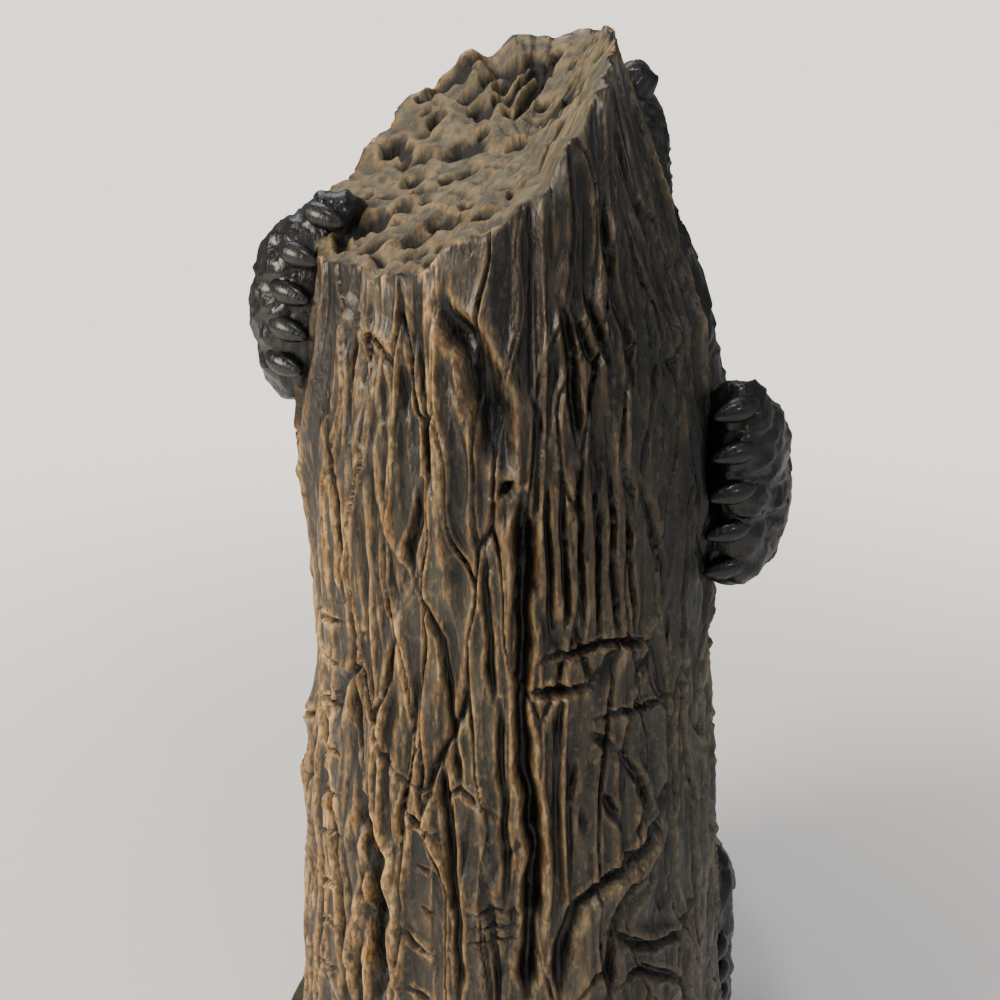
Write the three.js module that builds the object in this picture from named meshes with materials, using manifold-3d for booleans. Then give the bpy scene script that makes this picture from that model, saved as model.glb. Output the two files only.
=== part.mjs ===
// Bear on a tree trunk: one piece of cast and painted resin.
// A black bear hugs a broken tree trunk from the front, and its paws reach round both sides.
// Millimetres, +Z up. The bear's back is towards -Y, and the trunk's bare bark is towards +Y.
// The origin is the middle of the base's underside.

import * as THREE from 'three';
import { mergeVertices } from 'three/addons/utils/BufferGeometryUtils.js';
import Module from 'manifold-3d';

const wasm = await Module();
wasm.setup();

// Driving dimensions of the trunk and its base
const trunkHeight = 242;
const trunkWaist = 76;
const trunkFoot = 97;
const rootReach = 7;
const baseWidth = 120;
const baseMargin = 9.5;
const baseThickness = 11;
const baseEdge = 5;
const crackDepth = 4;
const fluteDepth = 2;
const pitDepth = 3;

// Driving dimensions of the bear
const bearLength = 220;
const bearSeat = 18;
const clawLength = 10.5;
const clawWidth = 4.8;
const furDepth = 1.6;

// The base reaches just past the trunk's foot on the bare side and just under the bear's rump on
// the other, so the trunk's axis stands back from the middle of the base
const rumpReach = 0.1614 * bearLength;
const baseLength = trunkFoot + baseMargin + rumpReach;
const trunkSetback = (baseLength - trunkFoot) / 2 - baseMargin;

// How finely each skin is divided
const trunkColumns = 56;
const topRows = 6;
const barkRows = 22;
const footRows = 1;

const radians = THREE.MathUtils.degToRad;
const { clamp, lerp, smoothstep } = THREE.MathUtils;

// A value between the stations of a list, eased from each to the next
function between(stations, place) {
  const last = stations[stations.length - 1];
  if (place <= stations[0][0]) return stations[0][1];
  if (place >= last[0]) return last[1];
  const next = stations.findIndex((station) => station[0] > place);
  const [start, before] = stations[next - 1];
  const [end, after] = stations[next];
  return lerp(before, after, smoothstep(place, start, end));
}

// The same, for a list that goes once round the trunk
function around(stations, bearing) {
  const turn = ((bearing % 360) + 360) % 360;
  const closed = [...stations, [stations[0][0] + 360, stations[0][1]]];
  return between(closed, turn < stations[0][0] ? turn + 360 : turn);
}

// A number from 0 to 1 that looks random and is the same every time
function chance(seed) {
  const wave = Math.sin(seed * 127.1 + 11.7) * 43758.5453;
  return wave - Math.floor(wave);
}

// The trunk's mean half width at each height, as shares of its waist and foot
const trunkProfile = [
  [0, 0.5 * trunkFoot],
  [0.14 * trunkHeight, 0.479 * trunkFoot],
  [0.26 * trunkHeight, 0.454 * trunkFoot],
  [0.37 * trunkHeight, 0.553 * trunkWaist],
  [0.56 * trunkHeight, 0.5 * trunkWaist],
  [0.7 * trunkHeight, 0.51 * trunkWaist],
  [0.84 * trunkHeight, 0.467 * trunkWaist],
];

function trunkRadius(height) {
  return between(trunkProfile, height);
}

// The broken top slants from a crest on the -X side down to a low lip on the +X side.
// Bearings run from +X towards +Y, in degrees. Heights are shares of the trunk's, and reaches
// from its axis are shares of its waist.
const rimHeights = [
  [0, 0.862], [30, 0.843], [60, 0.838], [80, 0.868], [95, 0.89], [105, 0.922], [114, 0.955],
  [150, 0.975], [180, 0.99], [245, 1], [262, 0.996], [282, 0.983], [300, 0.955], [322, 0.915],
  [338, 0.885],
];
const rimReaches = [
  [0, 0.46], [60, 0.467], [95, 0.454], [114, 0.414], [128, 0.29], [150, 0.237], [180, 0.217],
  [210, 0.25], [228, 0.355], [245, 0.447], [300, 0.454], [330, 0.454],
];
const crestStart = 0.8;

function rimHeight(bearing) {
  return around(rimHeights, bearing) * trunkHeight;
}

function rimRadius(bearing) {
  return around(rimReaches, bearing) * trunkWaist;
}

// Furrows that are cut deep into the bark: bearing at the foot and at the top, how high they run,
// half width as a share of the waist, and depth as a share of the crack depth
const furrows = [
  { name: 'main crack', foot: 96, top: 92, low: 0.1, high: 0.71, width: 0.034, depth: 1 },
  { name: 'left channel', foot: 56, top: 40, low: 0, high: 0.56, width: 0.06, depth: 1.5 },
  { name: 'hollow under the lip', foot: 89, top: 73, low: 0.66, high: 0.83, width: 0.045, depth: 1 },
  { name: 'upper groove', foot: 106, top: 100, low: 0.68, high: 0.84, width: 0.029, depth: 0.8 },
  { name: 'second upper groove', foot: 114, top: 104, low: 0.66, high: 0.86, width: 0.029, depth: 0.6 },
  { name: 'left crack', foot: 66, top: 71, low: 0.5, high: 0.76, width: 0.026, depth: 0.7 },
  { name: 'long right crack', foot: 140, top: 142, low: 0.4, high: 0.68, width: 0.029, depth: 0.7 },
  { name: 'knot groove', foot: 112, top: 128, low: 0.16, high: 0.44, width: 0.04, depth: 0.8 },
  { name: 'left edge crack', foot: 18, top: 12, low: 0.05, high: 0.7, width: 0.04, depth: 0.8 },
  { name: 'right edge crack', foot: 168, top: 160, low: 0.06, high: 0.52, width: 0.04, depth: 0.8 },
];

// The bark's flutes repeat all round, each a little out of line
const fluteCount = 24;
const flutes = Array.from({ length: fluteCount }, (_, index) => ({
  bearing: (index + 0.5 * chance(index)) * 360 / fluteCount,
  sway: 2 + 3 * chance(index + 40),
  phase: 6.3 * chance(index + 80),
  width: (0.028 + 0.016 * chance(index + 120)) * trunkWaist,
}));
const swayRise = 0.112 * trunkHeight;
const fadeRise = 0.079 * trunkHeight;

// A furrow's section across itself: a rounded cut between two slightly raised lips
function cut(across) {
  const beyond = Math.abs(across) - 1.7;
  return Math.exp(-across * across) - 0.3 * Math.exp(-3 * beyond * beyond);
}

function turnBetween(bearing, other) {
  return ((bearing - other + 540) % 360) - 180;
}

function barkRelief(bearing, height) {
  const radius = trunkRadius(height);
  const rise = height / trunkHeight;
  let relief = 0;
  for (const flute of flutes) {
    const line = flute.bearing + flute.sway * Math.sin(height / swayRise + flute.phase);
    const across = radians(turnBetween(bearing, line)) * radius / flute.width;
    const strength = 0.55 + 0.45 * Math.sin(height / fadeRise + 3 * flute.phase);
    relief -= fluteDepth * strength * cut(across);
  }
  for (const furrow of furrows) {
    const share = clamp((rise - furrow.low) / (furrow.high - furrow.low), 0, 1);
    const line = lerp(furrow.foot, furrow.top, share);
    const across = radians(turnBetween(bearing, line)) * radius / (furrow.width * trunkWaist);
    const fade = smoothstep(rise, furrow.low - 0.03, furrow.low + 0.03)
      * (1 - smoothstep(rise, furrow.high - 0.04, furrow.high + 0.02));
    relief -= crackDepth * furrow.depth * fade * cut(across);
  }
  return relief;
}

// Roots spread the trunk's foot into five lobes
const rootBearings = [25, 82, 150, 208, 325];

function rootFlare(bearing, height) {
  const low = 1 - smoothstep(height, 0, 0.2 * trunkHeight);
  const lobe = rootBearings.reduce((sum, root) => {
    const across = turnBetween(bearing, root) / 20;
    return sum + Math.exp(-across * across);
  }, 0);
  return rootReach * low * low * (lobe - 0.35);
}

// A knot in the bark on the photographed side, low down: a raised eye with a fold round it
const knot = {
  bearing: 124,
  rise: 0.19,
  width: 0.118 * trunkWaist,
  height: 0.054 * trunkHeight,
  swell: 0.55 * crackDepth,
};

function knotRelief(bearing, height) {
  const across = radians(turnBetween(bearing, knot.bearing)) * trunkRadius(height) / knot.width;
  const along = (height - knot.rise * trunkHeight) / knot.height;
  const far = Math.hypot(across, along);
  const ring = (far - 1) / 0.28;
  return knot.swell * Math.exp(-2 * far * far) - knot.swell * Math.exp(-ring * ring) * 0.8;
}

// The flank that the bear's left forepaw holds is pressed in a little above the paw
const hollow = { bearing: 172, spread: 38, rise: 0.77, tall: 0.083, depth: 0.04 };

function flankHollow(bearing, height) {
  const across = turnBetween(bearing, hollow.bearing) / hollow.spread;
  const along = (height / trunkHeight - hollow.rise) / hollow.tall;
  return hollow.depth * trunkWaist * Math.exp(-across * across - along * along);
}

function barkPoint(bearing, height) {
  const rim = rimHeight(bearing);
  const slope = clamp((height - crestStart * trunkHeight) / (rim - crestStart * trunkHeight), 0, 1);
  const mean = lerp(trunkRadius(height), rimRadius(bearing), slope) - flankHollow(bearing, height);
  const relief = barkRelief(bearing, height) + knotRelief(bearing, height);
  const radius = mean + relief * (1 - 0.5 * slope) + rootFlare(bearing, height);
  const angle = radians(bearing);
  return new THREE.Vector3(radius * Math.cos(angle), radius * Math.sin(angle), height);
}

// Worm holes and rot pits in the broken top: place from the axis, and half width
const pitCount = 17;
const pits = Array.from({ length: pitCount }, (_, index) => ({
  bearing: index * 137.5,
  share: 0.28 + 0.62 * Math.sqrt((index + 0.5) / pitCount),
  width: (1 + 0.73 * chance(index + 7)) * pitDepth,
}));
const topMiddle = { aside: -0.026 * trunkWaist, height: 0.915 * trunkHeight };

function topPoint(bearing, share) {
  const rim = barkPoint(bearing, rimHeight(bearing));
  const middle = new THREE.Vector3(topMiddle.aside, topMiddle.aside, topMiddle.height);
  const point = middle.lerp(rim, share);
  for (const pit of pits) {
    const angle = radians(pit.bearing);
    const away = pit.share * rimRadius(pit.bearing);
    const far = Math.hypot(point.x - away * Math.cos(angle), point.y - away * Math.sin(angle));
    const inside = far / pit.width;
    point.z -= pitDepth * Math.exp(-inside * inside) * smoothstep(1 - share, 0, 0.12);
  }
  return point;
}

// A closed skin: a sphere's grid, each of whose points is put where a rule says.
// Round goes once about the skin, and down goes from its first pole to its last.
function closedSkin(columns, rows, pointAt) {
  const geometry = new THREE.SphereGeometry(1, columns, rows);
  const places = geometry.getAttribute('position');
  for (let index = 0; index < places.count; index += 1) {
    const column = (index % (columns + 1)) % columns;
    const row = Math.floor(index / (columns + 1));
    const point = pointAt(column / columns, row / rows, row);
    places.setXYZ(index, point.x, point.y, point.z);
  }
  return geometry;
}

// Columns stand closer together on the bare side of the trunk than where the bear covers it
const crowding = 0.36;

function columnBearing(share) {
  const turn = 2 * Math.PI * share;
  const crowded = turn - crowding * Math.sin(turn);
  return 90 + THREE.MathUtils.radToDeg(crowded);
}

function makeTrunk() {
  const sideRows = topRows + barkRows;
  const rows = sideRows + footRows;
  const sunk = baseEdge / 2;
  return closedSkin(trunkColumns, rows, (round, _, row) => {
    const bearing = columnBearing(round);
    if (row <= topRows) return topPoint(bearing, row / topRows);
    const rim = rimHeight(bearing);
    if (row <= sideRows) return barkPoint(bearing, lerp(rim, sunk, (row - topRows) / barkRows));
    const inwards = 1 - (row - sideRows) / footRows;
    return barkPoint(bearing, sunk).multiply(new THREE.Vector3(inwards, inwards, 1));
  });
}

// The base is a low, uneven mound of ground. Its outline just fills its width and its length.
const baseColumns = 42;
const baseRows = 9;
const edgeRounding = 1;
const lumpHeight = 0.36 * baseThickness;

function baseOutline(angle) {
  const round = Math.hypot(Math.cos(angle) / (baseWidth / 2), Math.sin(angle) / (baseLength / 2));
  const corner = Math.sin(2 * angle) ** 2;
  return (1 + corner * (0.05 + 0.03 * Math.sin(5 * angle + 1) + 0.02 * Math.sin(9 * angle))) / round;
}

function makeBase() {
  const edgeRow = baseRows - 2;
  return closedSkin(baseColumns, baseRows, (round, _, row) => {
    const angle = 2 * Math.PI * round;
    const reach = baseOutline(angle);
    const share = row > edgeRow ? baseRows - row : Math.min(1, row / (edgeRow - 1));
    const lumps = 1.2 * Math.sin(5 * angle + 7 * share) + 0.9 * Math.sin(11 * angle - 5 * share);
    const top = lerp(baseThickness, baseEdge, share ** 3) + lumpHeight * lumps * share * (1 - share);
    const height = row > edgeRow ? 0 : row === edgeRow ? 0.35 * baseEdge : top;
    const rounded = row === edgeRow ? 0 : edgeRounding * share;
    const radius = reach * share - rounded;
    return new THREE.Vector3(
      radius * Math.cos(angle),
      radius * Math.sin(angle) - trunkSetback,
      height,
    );
  });
}

// The bear's body is worked out from bones. A spot is given by its bearing round the trunk,
// its rise above the seat and how far it stands out from the bark, as shares of the bear's length.
function spot(bearing, rise, out) {
  const height = bearSeat + rise * bearLength;
  const radius = trunkRadius(height) + out * bearLength;
  const angle = radians(bearing);
  return new THREE.Vector3(radius * Math.cos(angle), radius * Math.sin(angle), height);
}

// A limb is a row of joints: bearing, rise, out and half thickness
function limb(joints) {
  return joints.map(([bearing, rise, out, thick]) => ({
    place: spot(bearing, rise, out),
    thick: thick * bearLength,
  }));
}

const torso = limb([
  [270, 0.155, 0.032, 0.141], [270, 0.35, 0.036, 0.128], [268, 0.59, 0.036, 0.128],
  [266, 0.755, 0.05, 0.102], [256, 0.85, 0.055, 0.08],
]);

const flank = limb([[240, 0.2, 0.03, 0.1], [238, 0.45, 0.03, 0.092], [239, 0.63, 0.03, 0.086]]);

const skull = limb([[253, 0.918, 0.068, 0.073], [250, 0.912, 0.092, 0.067]]);

const armOfPhotoLeft = limb([
  [296, 0.755, 0.032, 0.08], [316, 0.73, 0.022, 0.054], [338, 0.765, 0.015, 0.042],
  [356, 0.8, 0.01, 0.036],
]);
const armOfPhotoRight = limb([
  [239, 0.8, 0.032, 0.078], [222, 0.68, 0.027, 0.058], [200, 0.645, 0.028, 0.046],
  [184, 0.64, 0.022, 0.043],
]);
const legOfPhotoLeft = limb([
  [297, 0.145, 0.04, 0.108], [314, 0.15, 0.008, 0.062], [312, 0.08, 0.004, 0.055],
  [312, 0.035, 0, 0.046],
]);
const legOfPhotoRight = limb([
  [240, 0.165, 0.04, 0.112], [214, 0.135, 0.014, 0.066], [214, 0.08, 0.01, 0.058],
  [213, 0.035, 0.004, 0.047],
]);

// A paw holds on with five toes, one above the other, and each ends in a claw that hooks in to the
// bark. Its side is 1 where its toes point towards a higher bearing and -1 where they point back.
// Lift is how far its toes stand above its palm, and curl brings the upper toes in over the rim.
// Turn and proud say where a claw's root lies from the palm, and hook brings its tip in to the bark.
const toeCount = 5;
const toeBow = 0.45;

function paw({
  side, bearing, rise, pitch, lift, out, thick, curl = 0, turn = 16, proud = 0.014, hook = 0.024,
}) {
  const palm = limb([[bearing, rise - 0.04, out, thick], [bearing, rise + 0.04, out, thick]]);
  const toes = [];
  const claws = [];
  for (let index = 0; index < toeCount; index += 1) {
    const step = index - (toeCount - 1) / 2;
    const back = toeBow * step * step;
    const height = rise + lift + pitch * step;
    const reach = out - curl * Math.max(step, 0) ** 2;
    toes.push(limb([
      [bearing + side * 2, rise + 0.75 * pitch * step, reach + 0.006, 0.024],
      [bearing + side * (turn - 4 - back), height, reach + 0.004, 0.0205],
    ]));
    claws.push({
      root: spot(bearing + side * (turn - back), height + 0.004, reach + proud),
      tip: spot(bearing + side * (turn + 13 - back), height - 0.008, reach + proud - hook),
    });
  }
  return { palm, toes, claws };
}

const paws = [
  paw({
    side: 1, bearing: 2, rise: 0.797, pitch: 0.0285, lift: 0.018, out: 0, thick: 0.038,
    curl: 0.007, turn: 11, proud: 0.026, hook: 0.016,
  }),
  paw({ side: -1, bearing: 172, rise: 0.642, pitch: 0.033, lift: 0.012, out: 0.012, thick: 0.042 }),
  paw({ side: 1, bearing: 314, rise: 0.035, pitch: 0.028, lift: 0, out: 0.01, thick: 0.036 }),
  paw({ side: -1, bearing: 211, rise: 0.035, pitch: 0.028, lift: 0, out: 0.014, thick: 0.036 }),
];

// The head looks outwards over the bear's left shoulder
const headMiddle = skull[0].place;
const headTurn = radians(247);
const headForward = new THREE.Vector3(Math.cos(headTurn), Math.sin(headTurn), -0.16).normalize();
const headSide = new THREE.Vector3().crossVectors(headForward, new THREE.Vector3(0, 0, 1)).normalize();
const headUp = new THREE.Vector3().crossVectors(headSide, headForward);

function onHead(forward, side, up) {
  return headMiddle.clone()
    .addScaledVector(headForward, forward * bearLength)
    .addScaledVector(headSide, side * bearLength)
    .addScaledVector(headUp, up * bearLength);
}

function ball(place, thick) {
  return { place, thick: thick * bearLength };
}

const muzzle = [ball(onHead(0.06, 0, -0.02), 0.048), ball(onHead(0.124, 0, -0.032), 0.031)];
const brow = [ball(onHead(0.045, -0.025, 0.035), 0.03), ball(onHead(0.045, 0.025, 0.035), 0.03)];
const jowl = [ball(onHead(0.03, -0.034, -0.03), 0.04), ball(onHead(0.03, 0.034, -0.03), 0.04)];

// Distance from a tapered bone's surface, less than nothing inside it
const along = new THREE.Vector3();
const offset = new THREE.Vector3();

function boneDistance(point, start, end) {
  along.subVectors(end.place, start.place);
  offset.subVectors(point, start.place);
  const share = clamp(offset.dot(along) / Math.max(along.lengthSq(), 1e-6), 0, 1);
  return offset.addScaledVector(along, -share).length() - lerp(start.thick, end.thick, share);
}

function limbDistance(point, joints) {
  let nearest = Infinity;
  for (let index = 0; index + 1 < joints.length; index += 1) {
    nearest = Math.min(nearest, boneDistance(point, joints[index], joints[index + 1]));
  }
  return nearest;
}

// Flesh runs smoothly from one limb to the next
const fleshBlend = 0.045 * bearLength;
const limbs = [
  torso, flank, skull, muzzle, brow, jowl,
  armOfPhotoLeft, armOfPhotoRight, legOfPhotoLeft, legOfPhotoRight,
  ...paws.map(({ palm }) => palm),
];

function flesh(point) {
  return limbs.reduce((joined, joints) => {
    const distance = limbDistance(point, joints);
    const shared = Math.max(fleshBlend - Math.abs(joined - distance), 0) / fleshBlend;
    return Math.min(joined, distance) - shared * shared * fleshBlend / 4;
  }, 1e3);
}

// The way straight out of the flesh at a point
const probe = 0.5;

function outOfFlesh(point) {
  const slope = (x, y, z) => {
    const step = new THREE.Vector3(x, y, z).multiplyScalar(probe);
    return flesh(point.clone().add(step)) - flesh(point.clone().sub(step));
  };
  return new THREE.Vector3(slope(1, 0, 0), slope(0, 1, 0), slope(0, 0, 1)).normalize();
}

// Coarse locks of fur lie along the body: each row of tips stands over the roots of the next
const lockLength = 0.075 * bearLength;
const lockWidth = 0.055 * bearLength;

function furRelief(point) {
  const bearing = Math.atan2(point.y, point.x);
  const across = bearing * Math.hypot(point.x, point.y) / lockWidth;
  const stagger = 0.5 * Math.sin(2 * Math.PI * across);
  const down = (bearSeat - point.z) / lockLength + stagger * 0.45;
  const step = down - Math.floor(down);
  return furDepth * (step - 0.5) + 0.5 * furDepth * Math.cos(2 * Math.PI * across);
}

// The bear's coat is stretched over the flesh on a net of small cells: each cell that the flesh's
// surface passes through holds one point of the skin, and each crossed edge joins four of them
const netCell = 6.8;
const netMargin = 2.5 * netCell;
const corners = [0, 1, 2, 3, 4, 5, 6, 7].map((bits) => [bits & 1, (bits >> 1) & 1, bits >> 2]);
const cellEdges = corners.flatMap((from, a) => corners
  .map((to, b) => [a, b, from.filter((bit, axis) => bit !== to[axis]).length])
  .filter(([, b, steps]) => steps === 1 && b > a));

function coatSkin() {
  const box = new THREE.Box3();
  for (const { place, thick } of limbs.flat()) {
    box.expandByPoint(place.clone().subScalar(thick));
    box.expandByPoint(place.clone().addScalar(thick));
  }
  box.expandByScalar(netMargin);
  const counts = box.getSize(new THREE.Vector3()).divideScalar(netCell).ceil().toArray();
  const place = (at) => new THREE.Vector3(...at).multiplyScalar(netCell).add(box.min);
  const number = ([i, j, k]) => i + (counts[0] + 1) * (j + (counts[1] + 1) * k);
  const depths = [];
  const cells = [];
  for (let k = 0; k <= counts[2]; k += 1) {
    for (let j = 0; j <= counts[1]; j += 1) {
      for (let i = 0; i <= counts[0]; i += 1) {
        depths.push(flesh(place([i, j, k])));
        if (i < counts[0] && j < counts[1] && k < counts[2]) cells.push([i, j, k]);
      }
    }
  }
  const places = [];
  const pointOfCell = new Map();
  for (const cell of cells) {
    const around8 = corners.map((corner) => depths[number(cell.map((x, axis) => x + corner[axis]))]);
    const crossed = cellEdges.filter(([a, b]) => (around8[a] < 0) !== (around8[b] < 0));
    if (crossed.length === 0) continue;
    const middle = [0, 1, 2].map((axis) => crossed.reduce((sum, [a, b]) => {
      const share = around8[a] / (around8[a] - around8[b]);
      return sum + lerp(corners[a][axis], corners[b][axis], share) / crossed.length;
    }, cell[axis]));
    const point = place(middle);
    const outwards = outOfFlesh(point);
    point.addScaledVector(outwards, furRelief(point) - flesh(point));
    pointOfCell.set(number(cell), places.length / 3);
    places.push(...point.toArray());
  }
  const faces = [];
  for (const cell of cells) {
    for (let axis = 0; axis < 3; axis += 1) {
      const next = cell.map((x, other) => x + (other === axis ? 1 : 0));
      const inside = depths[number(cell)] < 0;
      if (inside === depths[number(next)] < 0) continue;
      const side = (axis + 1) % 3;
      const other = (axis + 2) % 3;
      const ring = [[0, 0], [1, 0], [1, 1], [0, 1]].map(([back, down]) => {
        const beside = [...cell];
        beside[side] -= back;
        beside[other] -= down;
        return pointOfCell.get(number(beside));
      });
      const [a, b, c, d] = inside ? ring : ring.reverse();
      faces.push(a, b, c, a, c, d);
    }
  }
  const geometry = new THREE.BufferGeometry();
  geometry.setAttribute('position', new THREE.Float32BufferAttribute(places, 3));
  geometry.setIndex(faces);
  return geometry;
}

// A toe is a short, round-ended sausage along its two joints
function toeSkin([knuckle, end]) {
  const geometry = new THREE.CapsuleGeometry(end.thick, knuckle.place.distanceTo(end.place), 2, 6);
  const pointing = new THREE.Vector3().subVectors(end.place, knuckle.place).normalize();
  const turn = new THREE.Quaternion().setFromUnitVectors(new THREE.Vector3(0, 1, 0), pointing);
  const middle = knuckle.place.clone().lerp(end.place, 0.5);
  return geometry.applyQuaternion(turn).translate(middle.x, middle.y, middle.z);
}

// A claw is a glossy bead, fat at its root and hooked down to the bark at its tip
function clawSkin({ root, tip }) {
  const pointing = new THREE.Vector3().subVectors(tip, root).normalize();
  const outwards = new THREE.Vector3(root.x, root.y, 0).normalize();
  const level = new THREE.Vector3().crossVectors(pointing, outwards).normalize();
  const rise = new THREE.Vector3().crossVectors(level, pointing).normalize();
  return closedSkin(6, 5, (round, down) => {
    const turn = 2 * Math.PI * round;
    const girth = Math.sin(Math.PI * down) * (1.1 - 0.35 * down) * clawWidth / 2;
    const reach = (down - 0.3) * clawLength;
    const hook = -0.15 * clawLength * down * down;
    return root.clone()
      .addScaledVector(pointing, reach)
      .addScaledVector(rise, -girth * Math.cos(turn) + hook)
      .addScaledVector(level, girth * Math.sin(turn));
  });
}

// A round lump, such as an ear, the nose or an eye, stretched along the head's own directions
function headLump(place, forward, side, up, columns, rows) {
  return closedSkin(columns, rows, (round, down) => {
    const turn = 2 * Math.PI * round;
    const ring = Math.sin(Math.PI * down);
    return place.clone()
      .addScaledVector(headForward, forward * ring * Math.cos(turn) * bearLength)
      .addScaledVector(headSide, -side * ring * Math.sin(turn) * bearLength)
      .addScaledVector(headUp, up * Math.cos(Math.PI * down) * bearLength);
  });
}

function makeBear() {
  const skins = [coatSkin()];
  for (const { toes, claws } of paws) {
    skins.push(...toes.map(toeSkin), ...claws.map(clawSkin));
  }
  for (const side of [-1, 1]) {
    skins.push(headLump(onHead(0.012, side * 0.036, 0.06), 0.014, 0.022, 0.028, 10, 7));
    skins.push(headLump(onHead(0.078, side * 0.032, 0.022), 0.01, 0.011, 0.011, 8, 6));
  }
  skins.push(headLump(onHead(0.148, 0, -0.014), 0.014, 0.02, 0.014, 10, 6));
  return skins;
}

// A closed skin as a solid, and the casting joined from all of them
function solidOf(geometry) {
  const bare = geometry.clone();
  bare.deleteAttribute('normal');
  bare.deleteAttribute('uv');
  const merged = mergeVertices(bare, 1e-4);
  return new wasm.Manifold(new wasm.Mesh({
    numProp: 3,
    vertProperties: new Float32Array(merged.getAttribute('position').array),
    triVerts: new Uint32Array(merged.getIndex().array),
  }));
}

// Where two skins just graze each other, the join can leave loose slivers, which are dropped
const sliverVolume = 1;

function castTogether(geometries) {
  const joined = geometries.map(solidOf).reduce((whole, piece) => whole.add(piece));
  const bodies = joined.decompose().filter((body) => body.volume() > sliverVolume);
  const mesh = bodies.reduce((whole, body) => whole.add(body)).getMesh();
  const geometry = new THREE.BufferGeometry();
  geometry.setAttribute('position', new THREE.BufferAttribute(mesh.vertProperties, 3));
  geometry.setIndex(new THREE.BufferAttribute(mesh.triVerts, 1));
  geometry.translate(0, trunkSetback, 0);
  geometry.computeVertexNormals();
  return geometry;
}

const paintedResin = new THREE.MeshStandardMaterial({ color: '#4a4034', roughness: 0.45, metalness: 0 });

const casting = new THREE.Mesh(castTogether([makeTrunk(), makeBase(), ...makeBear()]), paintedResin);
casting.name = 'bear_on_trunk';

const figurine = new THREE.Group();
figurine.add(casting);

export default figurine;
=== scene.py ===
# %% [markdown]
# # Bear on a tree trunk
# The real object is one resin casting, painted by hand and lacquered: a black bear that hugs a
# broken tree trunk. This notebook makes its fine surface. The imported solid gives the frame, and two
# visible skins stand for it: the bark with the ground under it, and the bear.

# %% Load the frame
import math

import bmesh
import bpy
import numpy as np
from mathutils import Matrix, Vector


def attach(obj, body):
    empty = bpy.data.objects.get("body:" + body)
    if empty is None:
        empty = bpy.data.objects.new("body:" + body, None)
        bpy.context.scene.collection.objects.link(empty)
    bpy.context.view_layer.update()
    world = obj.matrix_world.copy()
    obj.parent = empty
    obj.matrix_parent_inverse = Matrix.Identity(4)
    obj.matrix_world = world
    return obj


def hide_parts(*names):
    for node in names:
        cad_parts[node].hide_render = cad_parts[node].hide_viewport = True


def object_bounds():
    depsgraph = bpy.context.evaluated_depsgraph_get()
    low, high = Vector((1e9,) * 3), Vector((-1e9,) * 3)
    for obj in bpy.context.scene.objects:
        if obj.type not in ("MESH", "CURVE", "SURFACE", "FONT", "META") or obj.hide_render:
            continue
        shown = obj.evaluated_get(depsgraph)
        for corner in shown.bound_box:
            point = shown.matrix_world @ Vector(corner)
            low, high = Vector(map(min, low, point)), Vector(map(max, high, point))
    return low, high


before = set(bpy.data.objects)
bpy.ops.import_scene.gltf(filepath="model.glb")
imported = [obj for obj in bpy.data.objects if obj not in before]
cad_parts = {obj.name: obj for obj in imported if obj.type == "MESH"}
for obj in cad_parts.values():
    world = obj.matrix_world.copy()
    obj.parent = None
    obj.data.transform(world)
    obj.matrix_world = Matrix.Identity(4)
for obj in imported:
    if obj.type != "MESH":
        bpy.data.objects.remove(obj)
cad_low, cad_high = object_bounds()
print("CAD box in mm:", [round(1000 * x, 1) for x in (*cad_low, *cad_high)])

# %% [markdown]
# ## Sizes
# Lengths in this script are in millimetres until a mesh is written. The trunk's and the bear's
# proportions are the solid's own, so that the skins lie on it.

# %% Sizes of the casting
MM = 0.001
trunk_height = 1000 * cad_high.z
trunk_waist = 76
trunk_foot = 97
root_reach = 7
base_width = 120
base_length = 142
base_thickness = 11
base_edge = 5
trunk_setback = 13
bear_length = 220
bear_seat = 18
claw_length = 10.5
claw_width = 4.6
fur_depth = 1.5
triangle_goal = 193000
print("trunk", round(trunk_height, 1), "mm high on a base of", base_width, "by", base_length)

# %% [markdown]
# ## Where the camera stood
# The carving on the bare side is placed from the photograph, so the camera comes first. Its
# height, distance and pitch follow from how the printed cloth under the figurine recedes.


# %% The camera
def into_scene(name, data):
    """An object with this data, put into the scene."""
    made = bpy.data.objects.new(name, data)
    bpy.context.scene.collection.objects.link(made)
    return made


image_size = 1000
focal_pixels = 1153
camera_pitch = math.radians(19.4)
camera_aside, camera_distance, camera_height = 2.4, 210, 230
camera_place = np.array([camera_aside, trunk_setback + camera_distance, camera_height])
camera_forward = np.array([0, -math.cos(camera_pitch), -math.sin(camera_pitch)])
camera_right = np.array([-1, 0, 0])
camera_up = np.cross(camera_right, camera_forward)


def ray(pixel):
    """The direction from the camera through a pixel of the photograph."""
    across = (pixel[0] - image_size / 2) / focal_pixels
    down = (pixel[1] - image_size / 2) / focal_pixels
    way = camera_forward + across * camera_right - down * camera_up
    return way / np.linalg.norm(way)


def pixel_of(points):
    """Where points, in millimetres, show in the photograph."""
    offset = points - camera_place
    depth = offset @ camera_forward
    across = image_size / 2 + focal_pixels * (offset @ camera_right) / depth
    down = image_size / 2 - focal_pixels * (offset @ camera_up) / depth
    return np.stack([across, down], axis=-1)


camera = into_scene("camera", bpy.data.cameras.new("camera"))
camera.location = Vector(camera_place) * MM
camera.rotation_euler = (math.pi / 2 - camera_pitch, 0, math.pi)
camera.data.sensor_width = 36
camera.data.lens = focal_pixels / image_size * camera.data.sensor_width
camera.data.clip_start = 0.01
bpy.context.scene.camera = camera
print("lens", round(camera.data.lens, 1), "mm")

# %% [markdown]
# ## Noise to carve with
# Weathered bark and fur are never regular. A lattice of random numbers, eased from point to point,
# gives hills and hollows of one size; the seed fixes them, so every run carves the same casting.


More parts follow.
